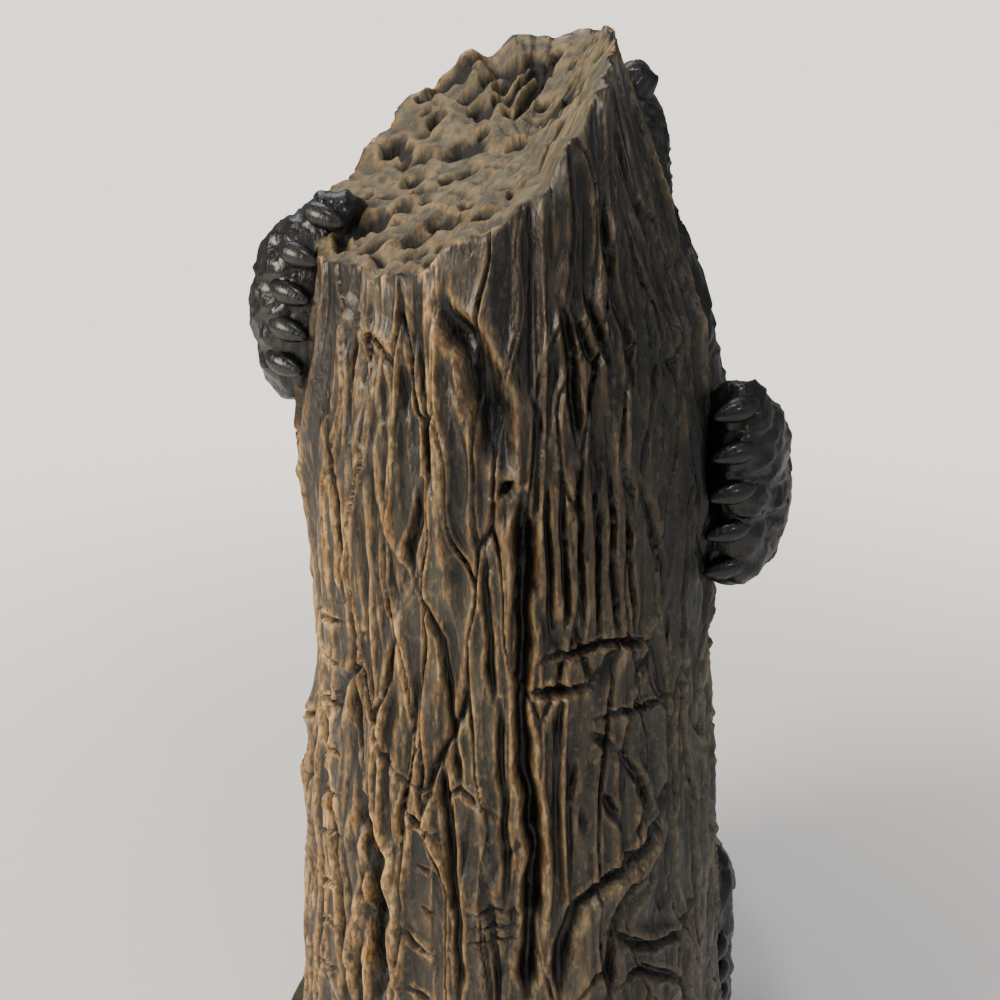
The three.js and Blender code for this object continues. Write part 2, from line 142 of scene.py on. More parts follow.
# %% Noise
cell_primes = (374761393, 668265263, 1442695041)
seed_prime, last_prime = 144665, 1274126177
word = 0xFFFFFFFF


def lattice(cells, seed):
    """A number from -1 to 1 for each whole-numbered cell, the same every time."""
    mixed = (cells @ np.array(cell_primes) + seed * seed_prime) & word
    mixed = ((mixed ^ (mixed >> 13)) * last_prime) & word
    mixed = mixed ^ (mixed >> 16)
    return mixed / (word >> 1) - 1


def noise(x, y, z, seed=0):
    """Smooth noise about one unit across, from about -1 to 1."""
    place = np.stack(np.broadcast_arrays(x, y, z), axis=-1).astype(float)
    corner = np.floor(place).astype(np.int64)
    share = place - corner
    share = share * share * (3 - 2 * share)
    total = 0
    for step in ((i, j, k) for i in (0, 1) for j in (0, 1) for k in (0, 1)):
        weight = 1
        for axis in range(3):
            weight = weight * (share[..., axis] if step[axis] else 1 - share[..., axis])
        total = total + weight * lattice(corner + np.array(step), seed)
    return total


def smoothstep(value, low, high):
    """From 0 at low to 1 at high, eased at both ends."""
    share = np.clip((value - low) / (high - low), 0, 1)
    return share * share * (3 - 2 * share)


def bell(value, width):
    """1 where the value is 0, falling off smoothly within a width either way."""
    return np.exp(-((value / width) ** 2))


def print_range(name, field):
    print(name, "from", round(float(field.min()), 1), "to", round(float(field.max()), 1), "mm")


def stations(places, values, at):
    """A value between stations, eased from each to the next."""
    places = np.asarray(places, float)
    values = np.asarray(values, float)
    at = np.clip(at, places[0], places[-1])
    after = np.clip(np.searchsorted(places, at, side="right"), 1, len(places) - 1)
    share = smoothstep(at, places[after - 1], places[after])
    return values[after - 1] + (values[after] - values[after - 1]) * share


# %% [markdown]
# ## The trunk's form
# The trunk is a slightly waisted column with a slanting broken top. Every point of its side has a
# bearing round the axis and a height, and the form is one rule that gives the radius there. It
# repeats the solid's own rule, so the fine skin follows the solid.

# %% Mean form of the trunk
profile_heights = np.array([0, 0.14, 0.26, 0.37, 0.56, 0.7, 0.84]) * trunk_height
profile_radii = [
    trunk_foot / 2, trunk_foot / 2 - 2, trunk_foot / 2 - 4.5,
    trunk_waist / 2 + 4, trunk_waist / 2, trunk_waist / 2 + 0.8, trunk_waist / 2 - 2.5,
]
rim_height_stations = [
    (0, 0.862), (30, 0.843), (60, 0.838), (80, 0.868), (95, 0.89), (105, 0.922), (114, 0.955),
    (150, 0.975), (180, 0.99), (245, 1), (262, 0.996), (282, 0.983), (300, 0.955),
    (322, 0.915), (338, 0.885), (360, 0.862),
]
rim_reach_stations = [
    (0, 0.46), (60, 0.467), (95, 0.454), (114, 0.414), (128, 0.29), (150, 0.237), (180, 0.217),
    (210, 0.25), (228, 0.355), (245, 0.447), (300, 0.454), (330, 0.454), (360, 0.46),
]
crest_start = 0.8 * trunk_height
flank_hollow = {"bearing": 172, "spread": 38, "rise": 0.77, "tall": 20, "depth": 3}
axis_foot = np.array([0, trunk_setback, 0])
top_middle = np.array([-2, trunk_setback - 2, 0.915 * trunk_height])


def turn_between(bearing, other):
    """The turn in degrees from one bearing to another, the short way round."""
    return (bearing - other + 540) % 360 - 180


def trunk_radius(height):
    return stations(profile_heights, profile_radii, height)


def rim_height(bearing):
    places, shares = zip(*rim_height_stations)
    return stations(places, shares, bearing % 360) * trunk_height


def rim_radius(bearing):
    places, shares = zip(*rim_reach_stations)
    return stations(places, shares, bearing % 360) * trunk_waist


def mean_radius(bearing, height):
    """The trunk's radius before any carving."""
    slope = np.clip((height - crest_start) / (rim_height(bearing) - crest_start), 0, 1)
    radius = trunk_radius(height)
    across = bell(turn_between(bearing, flank_hollow["bearing"]), flank_hollow["spread"])
    up = bell(height - flank_hollow["rise"] * trunk_height, flank_hollow["tall"])
    return radius + (rim_radius(bearing) - radius) * slope - flank_hollow["depth"] * across * up


root_bearings = (25, 82, 150, 208, 325)
root_spread = 20
root_rise = 0.2
root_valley = 0.35


def root_flare(bearing, height):
    """How far the roots stand out at the trunk's foot."""
    low = 1 - smoothstep(height, 0, root_rise * trunk_height)
    lobe = sum(bell(turn_between(bearing, root), root_spread) for root in root_bearings)
    return root_reach * low * low * (lobe - root_valley)


def on_bark(pixel):
    """Bearing and height of the point of the mean bark that a pixel of the photograph shows."""
    nearest, farthest, step = 140, 270, 0.4
    reaches = np.arange(nearest, farthest, step)
    track = camera_place + reaches[:, None] * ray(pixel)
    away = np.hypot(track[:, 0], track[:, 1] - trunk_setback)
    bearing = np.degrees(np.arctan2(track[:, 1] - trunk_setback, track[:, 0])) % 360
    inside = away < mean_radius(bearing, track[:, 2])
    first = np.argmax(inside) if inside.any() else np.argmin(away)
    return bearing[first], track[first, 2]


crack_start = (522, 500)
print("main crack starts at bearing and height", [round(float(x), 1) for x in on_bark(crack_start)])

# %% [markdown]
# ## Carved strokes
# The carver cut the bare side with a knife: long cracks, short nicks and a few holes, each with a
# lip of pushed-up material. Each stroke here has a half width and a depth in millimetres, then a
# line through a few places in the photograph's pixels.

# %% The cuts of the bare side
cuts = {
    "main crack": (1.3, 3.4, [
        (522, 495), (522, 600), (521, 690), (523, 750), (535, 850), (533, 900), (527, 1000),
    ]),
    "hollow under the lip": (2.4, 3.6, [(447, 305), (470, 350), (490, 400), (505, 465)]),
    "hole by the chip": (1.7, 3.2, [(503, 484), (510, 492)]),
    "left crack, upper": (0.8, 2.0, [(417, 345), (428, 420), (431, 490)]),
    "left crack, middle": (1.0, 2.2, [(425, 480), (410, 555), (416, 580)]),
    "left crack, lower": (0.6, 1.4, [(416, 580), (440, 640), (452, 700), (462, 790)]),
    "upper groove": (1.0, 2.4, [(556, 295), (568, 336), (573, 386), (580, 452)]),
    "second groove": (0.7, 1.6, [(570, 303), (586, 349), (596, 370)]),
    "third groove": (0.7, 1.6, [(583, 286), (603, 349), (611, 380)]),
    "right flank groove": (0.9, 1.8, [(610, 110), (628, 190), (648, 250), (672, 320)]),
    "right flank fork": (0.7, 1.4, [(640, 200), (668, 255), (690, 330)]),
    "shoulder groove": (0.9, 1.6, [(600, 200), (606, 260), (622, 330), (630, 400)]),
    "first cross cut": (0.8, 2.2, [(541, 660), (575, 650), (610, 640), (650, 640)]),
    "second cross cut": (1.1, 2.8, [(521, 695), (560, 690), (592, 683)]),
    "third cross cut": (0.7, 1.8, [(592, 718), (620, 710), (650, 702), (668, 690)]),
    "cut joining them": (0.6, 1.6, [(668, 600), (664, 645), (668, 690)]),
    "long right crack": (0.7, 1.8, [(678, 640), (679, 700), (686, 760), (692, 800)]),
    "leaf cut": (1.1, 1.8, [(590, 733), (602, 740), (612, 752)]),
    "curved cut": (0.9, 1.8, [(614, 748), (638, 778), (646, 808), (636, 834)]),
    "nick under the leaf": (0.8, 1.6, [(572, 762), (570, 800)]),
    "second nick": (0.9, 1.6, [(600, 792), (612, 812), (622, 828)]),
    "third nick": (0.8, 1.3, [(582, 806), (584, 834)]),
    "diagonal groove": (1.3, 2.2, [(668, 800), (640, 850), (604, 880), (576, 905), (562, 950), (560, 1000)]),
    "second diagonal": (1.0, 1.8, [(655, 862), (622, 892), (610, 940), (606, 1000)]),
    "knot rim": (1.0, 2.0, [(604, 930), (640, 944), (676, 936), (688, 900)]),
    "knot fold": (0.9, 1.8, [(612, 985), (640, 968), (675, 975), (690, 1000)]),
    "long left groove": (0.7, 1.5, [(349, 590), (355, 640), (357, 700), (363, 770)]),
    "left channel": (2.3, 4.2, [(365, 795), (376, 850), (378, 900), (375, 1010)]),
    "low middle crack": (0.8, 1.8, [(444, 760), (448, 830), (457, 900), (460, 1000)]),
    "low right crack": (0.7, 1.5, [(500, 700), (503, 780), (508, 860), (505, 905)]),
    "third low crack": (0.7, 1.5, [(485, 560), (490, 640), (493, 700)]),
    "left edge crack": (0.9, 1.8, [(330, 420), (338, 500), (342, 560), (346, 600)]),
    "left edge crack, low": (1.0, 1.8, [(325, 700), (336, 800), (345, 900), (350, 1000)]),
    "oblique cut": (0.8, 1.5, [(405, 803), (422, 822), (440, 836)]),
    "curled cut": (0.7, 1.4, [(388, 690), (378, 712), (385, 750), (410, 782)]),
    "joint": (0.7, 1.5, [(435, 800), (460, 790), (498, 818)]),
    "first stacked cut": (0.5, 1.3, [(468, 912), (495, 910), (523, 914)]),
    "second stacked cut": (0.5, 1.3, [(470, 927), (495, 926), (524, 929)]),
    "third stacked cut": (0.5, 1.3, [(470, 941), (497, 940), (523, 943)]),
    "low arc": (0.7, 1.3, [(403, 925), (415, 945), (430, 958)]),
    "second low arc": (0.7, 1.3, [(405, 985), (420, 995), (436, 1012)]),
    "cut under the paw": (0.8, 1.5, [(640, 480), (655, 540), (662, 590)]),
    "groove beside the paw": (0.7, 1.4, [(655, 350), (648, 420), (642, 470)]),
}

# %% [markdown]
# Long ridges stand between the cuts, drawn up like cords. They are strokes too, with a height in
# place of a depth. The short nicks down the left edge and the upright grooves below the right paw
# repeat, so a loop makes them.

# %% Ridges and repeated nicks
ridges = {
    "lip of the main crack": (0.8, 1.0, [(541, 520), (540, 650), (541, 760), (549, 860), (546, 1000)]),
    "long left ridge": (1.6, 1.5, [(436, 300), (432, 380), (447, 450), (440, 540), (452, 620)]),
    "lip corner": (1.8, 1.6, [(436, 268), (431, 300), (425, 350)]),
    "left plate ridge": (1.2, 1.0, [(385, 340), (372, 420), (378, 500), (400, 560)]),
    "far left ridge": (1.6, 1.2, [(345, 300), (338, 380), (325, 450), (333, 540)]),
    "ridge by the channel": (1.4, 1.3, [(400, 600), (405, 700), (396, 800), (402, 1000)]),
    "ridge left of the channel": (1.3, 1.2, [(352, 800), (358, 900), (352, 1000)]),
    "middle ridge": (1.2, 1.0, [(470, 600), (476, 700), (480, 800), (487, 900)]),
    "diagonal ridge": (1.5, 1.5, [(672, 812), (648, 862), (612, 892), (588, 920), (574, 1000)]),
    "second diagonal ridge": (1.3, 1.2, [(658, 880), (634, 905), (622, 950), (620, 1000)]),
    "lip of the curved cut": (0.8, 0.8, [(622, 742), (648, 778), (655, 812), (644, 840)]),
    "ridge over the knot": (1.3, 1.2, [(612, 925), (645, 934), (676, 926)]),
}
cord_columns = (556, 571, 589, 606, 619, 634)
groove_columns = (548, 563, 580, 597, 612, 627)
cord_centre, cord_top, cord_middle, cord_foot = 580, 440, 560, 636
for column in cord_columns:
    top = cord_top + 0.9 * abs(column - cord_centre)
    line = [(column - 4, top), (column, cord_middle), (column + 2, cord_foot)]
    ridges[f"cord at {column}"] = (0.9, 0.9, line)
for column in groove_columns:
    line = [(column - 4, cord_top + 30), (column, cord_middle), (column + 3, cord_foot + 4)]
    cuts[f"groove at {column}"] = (0.5, 1.4, line)
edge_nicks, edge_nick_start, edge_nick_pitch = 9, 606, 44
for step in range(edge_nicks):
    row = edge_nick_start + edge_nick_pitch * step
    lean = 16 - 3 * (step % 3)
    cuts[f"edge nick {step}"] = (0.6, 1.4, [(322 + 4 * (step % 2), row), (344, row + lean)])
plate_nicks, plate_nick_start, plate_nick_pitch = 5, 780, 42
for step in range(plate_nicks):
    row = plate_nick_start + plate_nick_pitch * step
    cuts[f"plate nick {step}"] = (0.5, 1.2, [(418 + 6 * (step % 2), row), (436, row + 12)])
print(len(cuts), "cuts and", len(ridges), "ridges")

# %% [markdown]
# ## A grid to carve
# A flat grid is rolled up and welded along its seam and at both ends, so it makes a watertight skin.
# Its rings become, from the top down: the broken wood, the bark, the ground and the underside.
# Spokes stand closer together on the bare side, where the photograph looks.

# %% The trunk's grid
spokes = 640
top_rings = 90
bark_rings = 500
ground_rings = 60
under_rings = 4
rings = top_rings + bark_rings + ground_rings + under_rings
crowding = 0.3

shape = bmesh.new()
bmesh.ops.create_grid(shape, x_segments=spokes, y_segments=rings, size=1)
trunk_mesh = bpy.data.meshes.new("trunk_bark")
shape.to_mesh(trunk_mesh)
shape.free()
flat = np.empty(len(trunk_mesh.vertices) * 3)
trunk_mesh.vertices.foreach_get("co", flat)
flat = flat.reshape(-1, 3)
ring_of = np.rint((1 - flat[:, 1]) / 2 * rings).astype(int)
spoke_of = np.rint((flat[:, 0] + 1) / 2 * spokes).astype(int) % spokes
turn = 2 * math.pi * np.arange(spokes) / spokes
spoke_bearing = (90 + np.degrees(turn - crowding * np.sin(turn))) % 360
print(len(flat), "points in", rings, "rings")

# %% Height and bearing over the bark
ground_level = base_thickness - 1
bark_bearing = np.broadcast_to(spoke_bearing, (bark_rings + 1, spokes))
mean_reach = 40
round_x = mean_reach * np.cos(np.radians(bark_bearing))
round_y = mean_reach * np.sin(np.radians(bark_bearing))
splinters = 1.1 * noise(round_x[0] / 5, round_y[0] / 5, 0, 31)
splinters = splinters + 0.5 * noise(round_x[0] / 2, round_y[0] / 2, 0, 32)
rim = np.minimum(rim_height(spoke_bearing) + splinters, trunk_height)
bark_share = np.arange(bark_rings + 1)[:, None] / bark_rings
bark_height = rim + (ground_level - rim) * bark_share
bare_bearing, bare_spread, bare_fade = 90, 102, 24
bare = smoothstep(bare_spread - np.abs(turn_between(bark_bearing, bare_bearing)), 0, bare_fade)


def round_bark(bearing):
    """How far round the trunk each point of the bark lies from a bearing, in millimetres."""
    return np.radians(turn_between(bark_bearing, bearing)) * trunk_radius(bark_height)


def bark_noise(width, length, seed, shift=0):
    """Noise on the bark, with hills so many mm wide round the trunk and so many long up it."""
    return noise((round_x + shift) / width, (round_y - shift) / width, bark_height / length, seed)


print_range("rim", rim)

# %% [markdown]
# ## Carving the bark
# Each stroke is measured on the unrolled bark: how far a point lies from the line, and how far
# along. A cut's section is a rounded trench between two low lips. Between the carved strokes run
# finer plates and cracks from stretched noise, long up the trunk and narrow across it.


# %% Strokes on the unrolled bark
patch_margin = 5
wobble = 0.45
tip_length = 6


def lay_stroke(width, pixels):
    """The part of the grid near one stroke, the distance from its line there and its strength."""
    line = np.array([on_bark(pixel) for pixel in pixels])
    scale = np.radians(trunk_radius(line[:, 1].mean()))
    points = np.stack([turn_between(line[:, 0], bare_bearing) * scale, line[:, 1]], axis=1)
    low, high = points.min(0) - patch_margin * width, points.max(0) + patch_margin * width
    across = turn_between(spoke_bearing, bare_bearing) * scale
    columns = np.where((across > low[0]) & (across < high[0]))[0]
    heights = bark_height[:, columns]
    rows = np.where((heights.max(1) > low[1]) & (heights.min(1) < high[1]))[0]
    patch = np.ix_(rows, columns)
    up = bark_height[patch]
    across = across[columns] + wobble * width * noise(up / 5, line[0, 0], 10 * width, 5)
    nearest = np.full(up.shape, 1e3)
    gone = np.zeros(up.shape)
    lengths = np.linalg.norm(np.diff(points, axis=0), axis=1)
    before = 0
    for start, end, length in zip(points, points[1:], lengths):
        way = (end - start) / length
        along = np.clip((across - start[0]) * way[0] + (up - start[1]) * way[1], 0, length)
        far = np.hypot(across - start[0] - along * way[0], up - start[1] - along * way[1])
        closer = far < nearest
        nearest[closer] = far[closer]
        gone[closer] = (before + along)[closer]
        before += length
    ends = np.minimum(gone, before - gone)
    strength = 0.3 + 0.7 * smoothstep(ends, 0, min(tip_length, before / 2.2))
    strength = strength * (0.85 + 0.3 * noise(up / 4, line[0, 0], 7 * width, 9))
    return patch, nearest / (width * (0.45 + 0.55 * strength)), strength


def blur(field, size):
    """A field averaged twice over its neighbours. Its columns join in a ring."""
    for _ in range(2):
        wrapped = np.concatenate([field[:, -size:], field, field[:, :size]], axis=1)
        field = sum(wrapped[:, step:step + spokes] for step in range(2 * size + 1)) / (2 * size + 1)
        grown = np.pad(field, ((size, size), (0, 0)), mode="edge")
        rows = len(field)
        field = sum(grown[step:step + rows] for step in range(2 * size + 1)) / (2 * size + 1)
    return field


# %% Carved relief
carved = np.zeros_like(bark_height)
lips = np.zeros_like(bark_height)
raised = np.zeros_like(bark_height)
trench_power = 2.6
lip_share, lip_place, lip_width = 0.32, 1.8, 0.6
for width, depth, pixels in cuts.values():
    patch, far, strength = lay_stroke(width, pixels)
    carved[patch] = np.maximum(carved[patch], depth * strength * np.exp(-(far ** trench_power)))
    lip = lip_share * depth * strength * bell(far - lip_place, lip_width)
    lips[patch] = np.maximum(lips[patch], lip)
for width, depth, pixels in ridges.values():
    patch, far, strength = lay_stroke(width, pixels)
    raised[patch] = np.maximum(raised[patch], depth * strength * np.exp(-(far ** 2)))
print("deepest cut", round(float(carved.max()), 2), "mm")
print("highest ridge", round(float(raised.max()), 2), "mm")

# %% [markdown]
# The solid's flutes go all round. On the bare side they fade, because the carved strokes take over.


# %% Flutes, plates and cracks all over
def chance(seed):
    """The solid's own way to pick a number from 0 to 1."""
    wave = math.sin(seed * 127.1 + 11.7) * 43758.5453
    return wave - math.floor(wave)


flute_count = 24
flute_depth = 2
flutes = np.zeros_like(bark_height)
for index in range(flute_count):
    bearing = (index + 0.5 * chance(index)) * 360 / flute_count
    sway, phase = 2 + 3 * chance(index + 40), 6.3 * chance(index + 80)
    width = 2.1 + 1.2 * chance(index + 120)
    line = bearing + sway * np.sin(bark_height / 27 + phase)
    across = round_bark(line) / width
    strength = 0.55 + 0.45 * np.sin(bark_height / 19 + 3 * phase)
    flutes -= flute_depth * strength * (bell(across, 1) - 0.3 * bell(np.abs(across) - 1.7, 0.58))


def plates_of(count, tall, seed):
    """Tall bark plates: how far each point is from its plate's border, and a number for the plate."""
    sway = 0.55 * bark_noise(13, 30, seed + 1) + 0.2 * bark_noise(5, 11, seed + 2)
    place = np.stack([bark_bearing / 360 * count + sway, bark_height / tall + 0.6 * sway], axis=-1)
    corner = np.floor(place).astype(np.int64)
    scatter, far_off = 0.42, 9.0
    first = np.full(sway.shape, far_off)
    second = np.full(sway.shape, far_off)
    number = np.zeros(sway.shape)
    for column in (-1, 0, 1):
        for row in (-1, 0, 1):
            cell = corner + np.array([column, row])
            key = np.stack([cell[..., 0] % count, cell[..., 1], np.zeros_like(cell[..., 0])], axis=-1)
            moved = np.stack([lattice(key, seed), lattice(key, seed + 7)], axis=-1)
            middle = cell + 0.5 + scatter * moved
            far = np.hypot(place[..., 0] - middle[..., 0], place[..., 1] - middle[..., 1])
            closer = far < first
            second = np.where(closer, first, np.minimum(second, far))
            number = np.where(closer, lattice(key, seed + 13), number)
            first = np.where(closer, far, first)
    return second - first, number


# Each of these terms is a height in millimetres
drift = 2.4 * bark_noise(16, 38, 3)
swell = bark_noise(7, 34, 11, drift)
cords = bark_noise(2.6, 24, 12, -drift)
grain = noise((round_x + drift) / 1.3, (round_y + drift) / 1.3, bark_height / 8, 13)
chips = bark_noise(2.4, 3.2, 14)
flow = bark_noise(6.5, 62, 21, 2 * drift)
border, level = plates_of(30, 64, 70)
small_border, small_level = plates_of(66, 30, 90)
relief = 0.5 * swell + 0.28 * cords + 0.16 * grain + 0.12 * chips + 0.36 * level + 0.22 * small_level
relief += 1.0 * bell(flow, 0.075) - 0.9 * bell(flow - 0.26, 0.1) + 0.7 * bell(border - 0.09, 0.08)
relief += 0.3 * bell(small_border - 0.1, 0.09)
relief -= 1.3 * bell(border, 0.035) * smoothstep(swell, -0.5, 0.1)
relief -= 0.8 * bell(cords, 0.12) * smoothstep(swell, 0.3, -0.3)
calm = 1 - 0.55 * np.clip(carved / 1.5 + raised / 1.5, 0, 1)
relief = relief * calm + flutes * (1 - 0.75 * bare) + raised + lips - carved
print_range("bark relief", relief)

# %% [markdown]
# A knot sits low on the bare side: a raised eye with a fold round it. Then come the paint marks: a
# dark wash, a tan brush, a pale rim that is a painted highlight, a cooler flank that is painted shade,
# black overspray round the forepaws, and painted shade under the crest.

# %% Knot, bark points and paint
knot = {"bearing": 124, "rise": 0.19, "width": 9, "height": 13, "swell": 2.2}
knot_up = bark_height - knot["rise"] * trunk_height
knot_far = np.hypot(round_bark(knot["bearing"]) / knot["width"], knot_up / knot["height"])
relief += knot["swell"] * (bell(knot_far, 0.7) - 0.8 * bell(knot_far - 1, 0.28))

slope = np.clip((bark_height - crest_start) / (rim_height(bark_bearing) - crest_start), 0, 1)
radius = mean_radius(bark_bearing, bark_height) + root_flare(bark_bearing, bark_height)
radius = radius + relief * (1 - 0.5 * slope)
angle = np.radians(bark_bearing)
bark_points = np.stack([
    radius * np.cos(angle), radius * np.sin(angle) + trunk_setback, bark_height,
], axis=-1)


def paint_marks(field):
    """Where the dark wash settled in the hollows, and where the tan brush caught the edges."""
    wash_reach, brush_reach, edge_reach = 9, 7, 2
    hollow = smoothstep(blur(field, wash_reach) - field, 0.1, 0.7)
    sharp = smoothstep(field - blur(field, edge_reach), 0.05, 0.22)
    proud = smoothstep(field - blur(field, brush_reach), 0.45, 1.2)
    return hollow, np.clip(0.65 * sharp + 0.55 * proud, 0, 1) * (1 - hollow)


bark_wash_and_painted_shade, bark_edge = paint_marks(relief)
shaded = bell(turn_between(bark_bearing, 120), 52) * smoothstep(bark_height, 30, 80)
bark_edge *= 1 - 0.78 * shaded
below_rim = rim_height(bark_bearing) - bark_height
# Painted highlight: a pale broken line just under the rim on the front, where the lacquer's sheen falls.
painted_rim_highlight = bell(below_rim - 1, 2.2) * bell(turn_between(bark_bearing, 108), 30)
painted_rim_highlight *= smoothstep(bark_noise(4, 4, 32), -0.5, 0.4)
# Painted cool shade: the flank turned away from the key lamp is tinted a bluish grey, standing in for shade
# and the cool light reflected there.
painted_cool_shade = bell(turn_between(bark_bearing, 162), 42)
# Black patches darken the bark: overspray round the forepaws, and painted shade under the crest and below
# it.
overspray_and_painted_shade = {
    "right paw": (168, 160, 0.85), "left paw": (4, 199, 0.85),
    "under the crest": (120, 208, 0.5), "below that": (108, 180, 0.35),
}
dark_patch_full, dark_patch_end = 22, 31
for bearing, height, strength in overspray_and_painted_shade.values():
    from_dark_patch = np.hypot(round_bark(bearing), bark_height - height) + 5 * bark_noise(3, 3, 31)
    overspray_and_shade = strength * smoothstep(from_dark_patch, dark_patch_end, dark_patch_full)
    bark_wash_and_painted_shade = np.maximum(bark_wash_and_painted_shade, overspray_and_shade)
print("black wash over", round(float(bark_wash_and_painted_shade.mean()), 2), "of the bark")
print("tan brush over", round(float(bark_edge.mean()), 2), "of the bark")

# %% [markdown]
# ## The broken top
# The wood broke off on a slant. Worm holes and rot pits cover it, and two long grooves run up to
# the crest. They are placed by the photograph's pixels on the part of the top that faces the camera,
# and by chance on the rest.

# %% Top points
top_share = np.arange(top_rings + 1)[:, None] / top_rings
top_points = top_middle + (bark_points[0] - top_middle) * top_share[..., None]
top_pixels = pixel_of(top_points)
top_x, top_y = top_points[..., 0], top_points[..., 1]

# Each pit has a half width and a depth in millimetres, then its two ends in pixels
pits = {
    "highest hole": (1.7, 2.4, (484, 61), (484, 61)),
    "hole by the crest": (1.5, 2.2, (512, 65), (514, 66)),
    "hole under the highest": (1.4, 2.0, (487, 78), (487, 77)),
    "hole left of the groove": (1.5, 2.0, (467, 99), (469, 97)),
    "hole in the groove": (1.3, 1.8, (499, 98), (499, 98)),
    "upper middle hole": (1.5, 2.2, (484, 116), (486, 115)),
    "hole at the left rim": (1.5, 2.2, (436, 119), (438, 117)),
    "upper rim pit": (1.9, 2.2, (391, 146), (396, 142)),
    "hole by the rim pit": (1.6, 2.2, (421, 162), (424, 160)),
    "great upper pit": (2.8, 2.2, (460, 152), (472, 146)),
    "hole under the crest": (1.6, 2.0, (517, 146), (519, 145)),
    "left middle hole": (1.8, 2.2, (413, 183), (416, 180)),
    "lower left hole": (1.6, 2.0, (401, 212), (404, 209)),
    "hole near the paw": (1.9, 2.2, (373, 246), (377, 243)),
    "low middle hole": (1.9, 2.4, (418, 241), (421, 239)),
    "great lower pit": (2.6, 2.4, (446, 224), (453, 220)),
    "lower right hole": (1.6, 2.0, (484, 214), (487, 212)),
    "right rim hole": (1.5, 1.8, (516, 189), (518, 187)),
    "lowest hole": (1.4, 2.2, (400, 284), (402, 282)),
    "pit by the paw": (2.2, 2.4, (357, 226), (380, 220)),
    "upper edge trough": (1.6, 2.2, (425, 96), (470, 58)),
    "first crest groove": (1.1, 1.8, (560, 50), (520, 110)),
    "second crest groove": (1.0, 1.8, (545, 60), (510, 100)),
    "middle pit": (1.5, 2.0, (450, 180), (470, 172)),
    "third crest groove": (1.2, 1.6, (535, 60), (500, 92)),
    "hole beside the paw": (1.2, 1.8, (340, 235), (344, 250)),
    "second lowest hole": (1.3, 1.8, (433, 262), (436, 255)),
}


def on_top(pixel):
    """The grid point of the top that shows nearest to a pixel."""
    near = np.argmin(np.linalg.norm(top_pixels - np.array(pixel), axis=-1))
    return top_points.reshape(-1, 3)[near]


def dent(start, end, width):
    """How far each point of the top lies from a short line, in widths."""
    way = (end - start)[:2]
    length = max(np.linalg.norm(way), 0.1)
    way = way / length
    along = np.clip((top_x - start[0]) * way[0] + (top_y - start[1]) * way[1], 0, length)
    far = np.hypot(top_x - start[0] - along * way[0], top_y - start[1] - along * way[1])
    return far / width


top_relief = 0.4 * noise(top_x / 5, top_y / 5, 0, 41)
top_relief += 0.25 * noise(top_x / 1.6, top_y / 1.6, 0, 42)
top_relief += 0.4 * noise((top_x + top_y) / 1.4, (top_x - top_y) / 11, 0, 43)
inner = smoothstep(1 - top_share, 0, 0.06)
for width, depth, start, end in pits.values():
    far = dent(on_top(start), on_top(end), width)
    top_relief = top_relief - depth * np.exp(-(far ** 3)) + 0.3 * bell(far - 1.5, 0.4)
scattered = np.random.default_rng(7)
hole_count, hole_depth = 90, 1.4
for _ in range(hole_count):
    share, bearing = math.sqrt(scattered.uniform(0.1, 0.85)), scattered.uniform(0, 2 * math.pi)
    away = share * rim_radius(math.degrees(bearing))
    place = np.array([away * math.cos(bearing), away * math.sin(bearing) + trunk_setback, 0])
    far = dent(place, place + scattered.uniform(-1.5, 1.5, 3), scattered.uniform(0.6, 1.2))
    top_relief = top_relief - hole_depth * np.exp(-(far ** 3))
top_points[..., 2] += top_relief * inner * smoothstep(top_share, 0, 0.05)
top_hollow = smoothstep(-top_relief, 0.34, 0.85) * inner
top_edge = smoothstep(top_relief - blur(top_relief, 2), 0.02, 0.14)
print_range("top relief", top_relief)

# %% [markdown]
# ## The ground
# The base is a low mound. From the foot of the bark it runs out to an uneven oval edge, drops to
# the table with a small rounding, and is flat underneath.


# %% Ground points
def base_outline(angle):
    """How far the base reaches from the middle at an angle: an uneven, slightly square oval."""
    rounded = np.hypot(np.cos(angle) / (base_width / 2), np.sin(angle) / (base_length / 2))
    corner = np.sin(2 * angle) ** 2
    return (1 + corner * (0.05 + 0.03 * np.sin(5 * angle + 1) + 0.02 * np.sin(9 * angle))) / rounded


def ground_noise(size, seed):
    return noise(ground_x / size, ground_y / size, 0, seed)


way_out = np.stack([np.cos(angle[-1]), np.sin(angle[-1])], axis=-1)
search_reach, halvings = 150.0, 30
near, far = np.zeros(spokes), np.full(spokes, search_reach)
for _ in range(halvings):
    middle = (near + far) / 2
    x, y = middle * way_out[:, 0], middle * way_out[:, 1] + trunk_setback
    out = np.hypot(x, y) > base_outline(np.arctan2(y, x))
    near, far = np.where(out, near, middle), np.where(out, middle, far)
edge_reach = near
foot_reach = radius[-1]
edge_rounding = 1

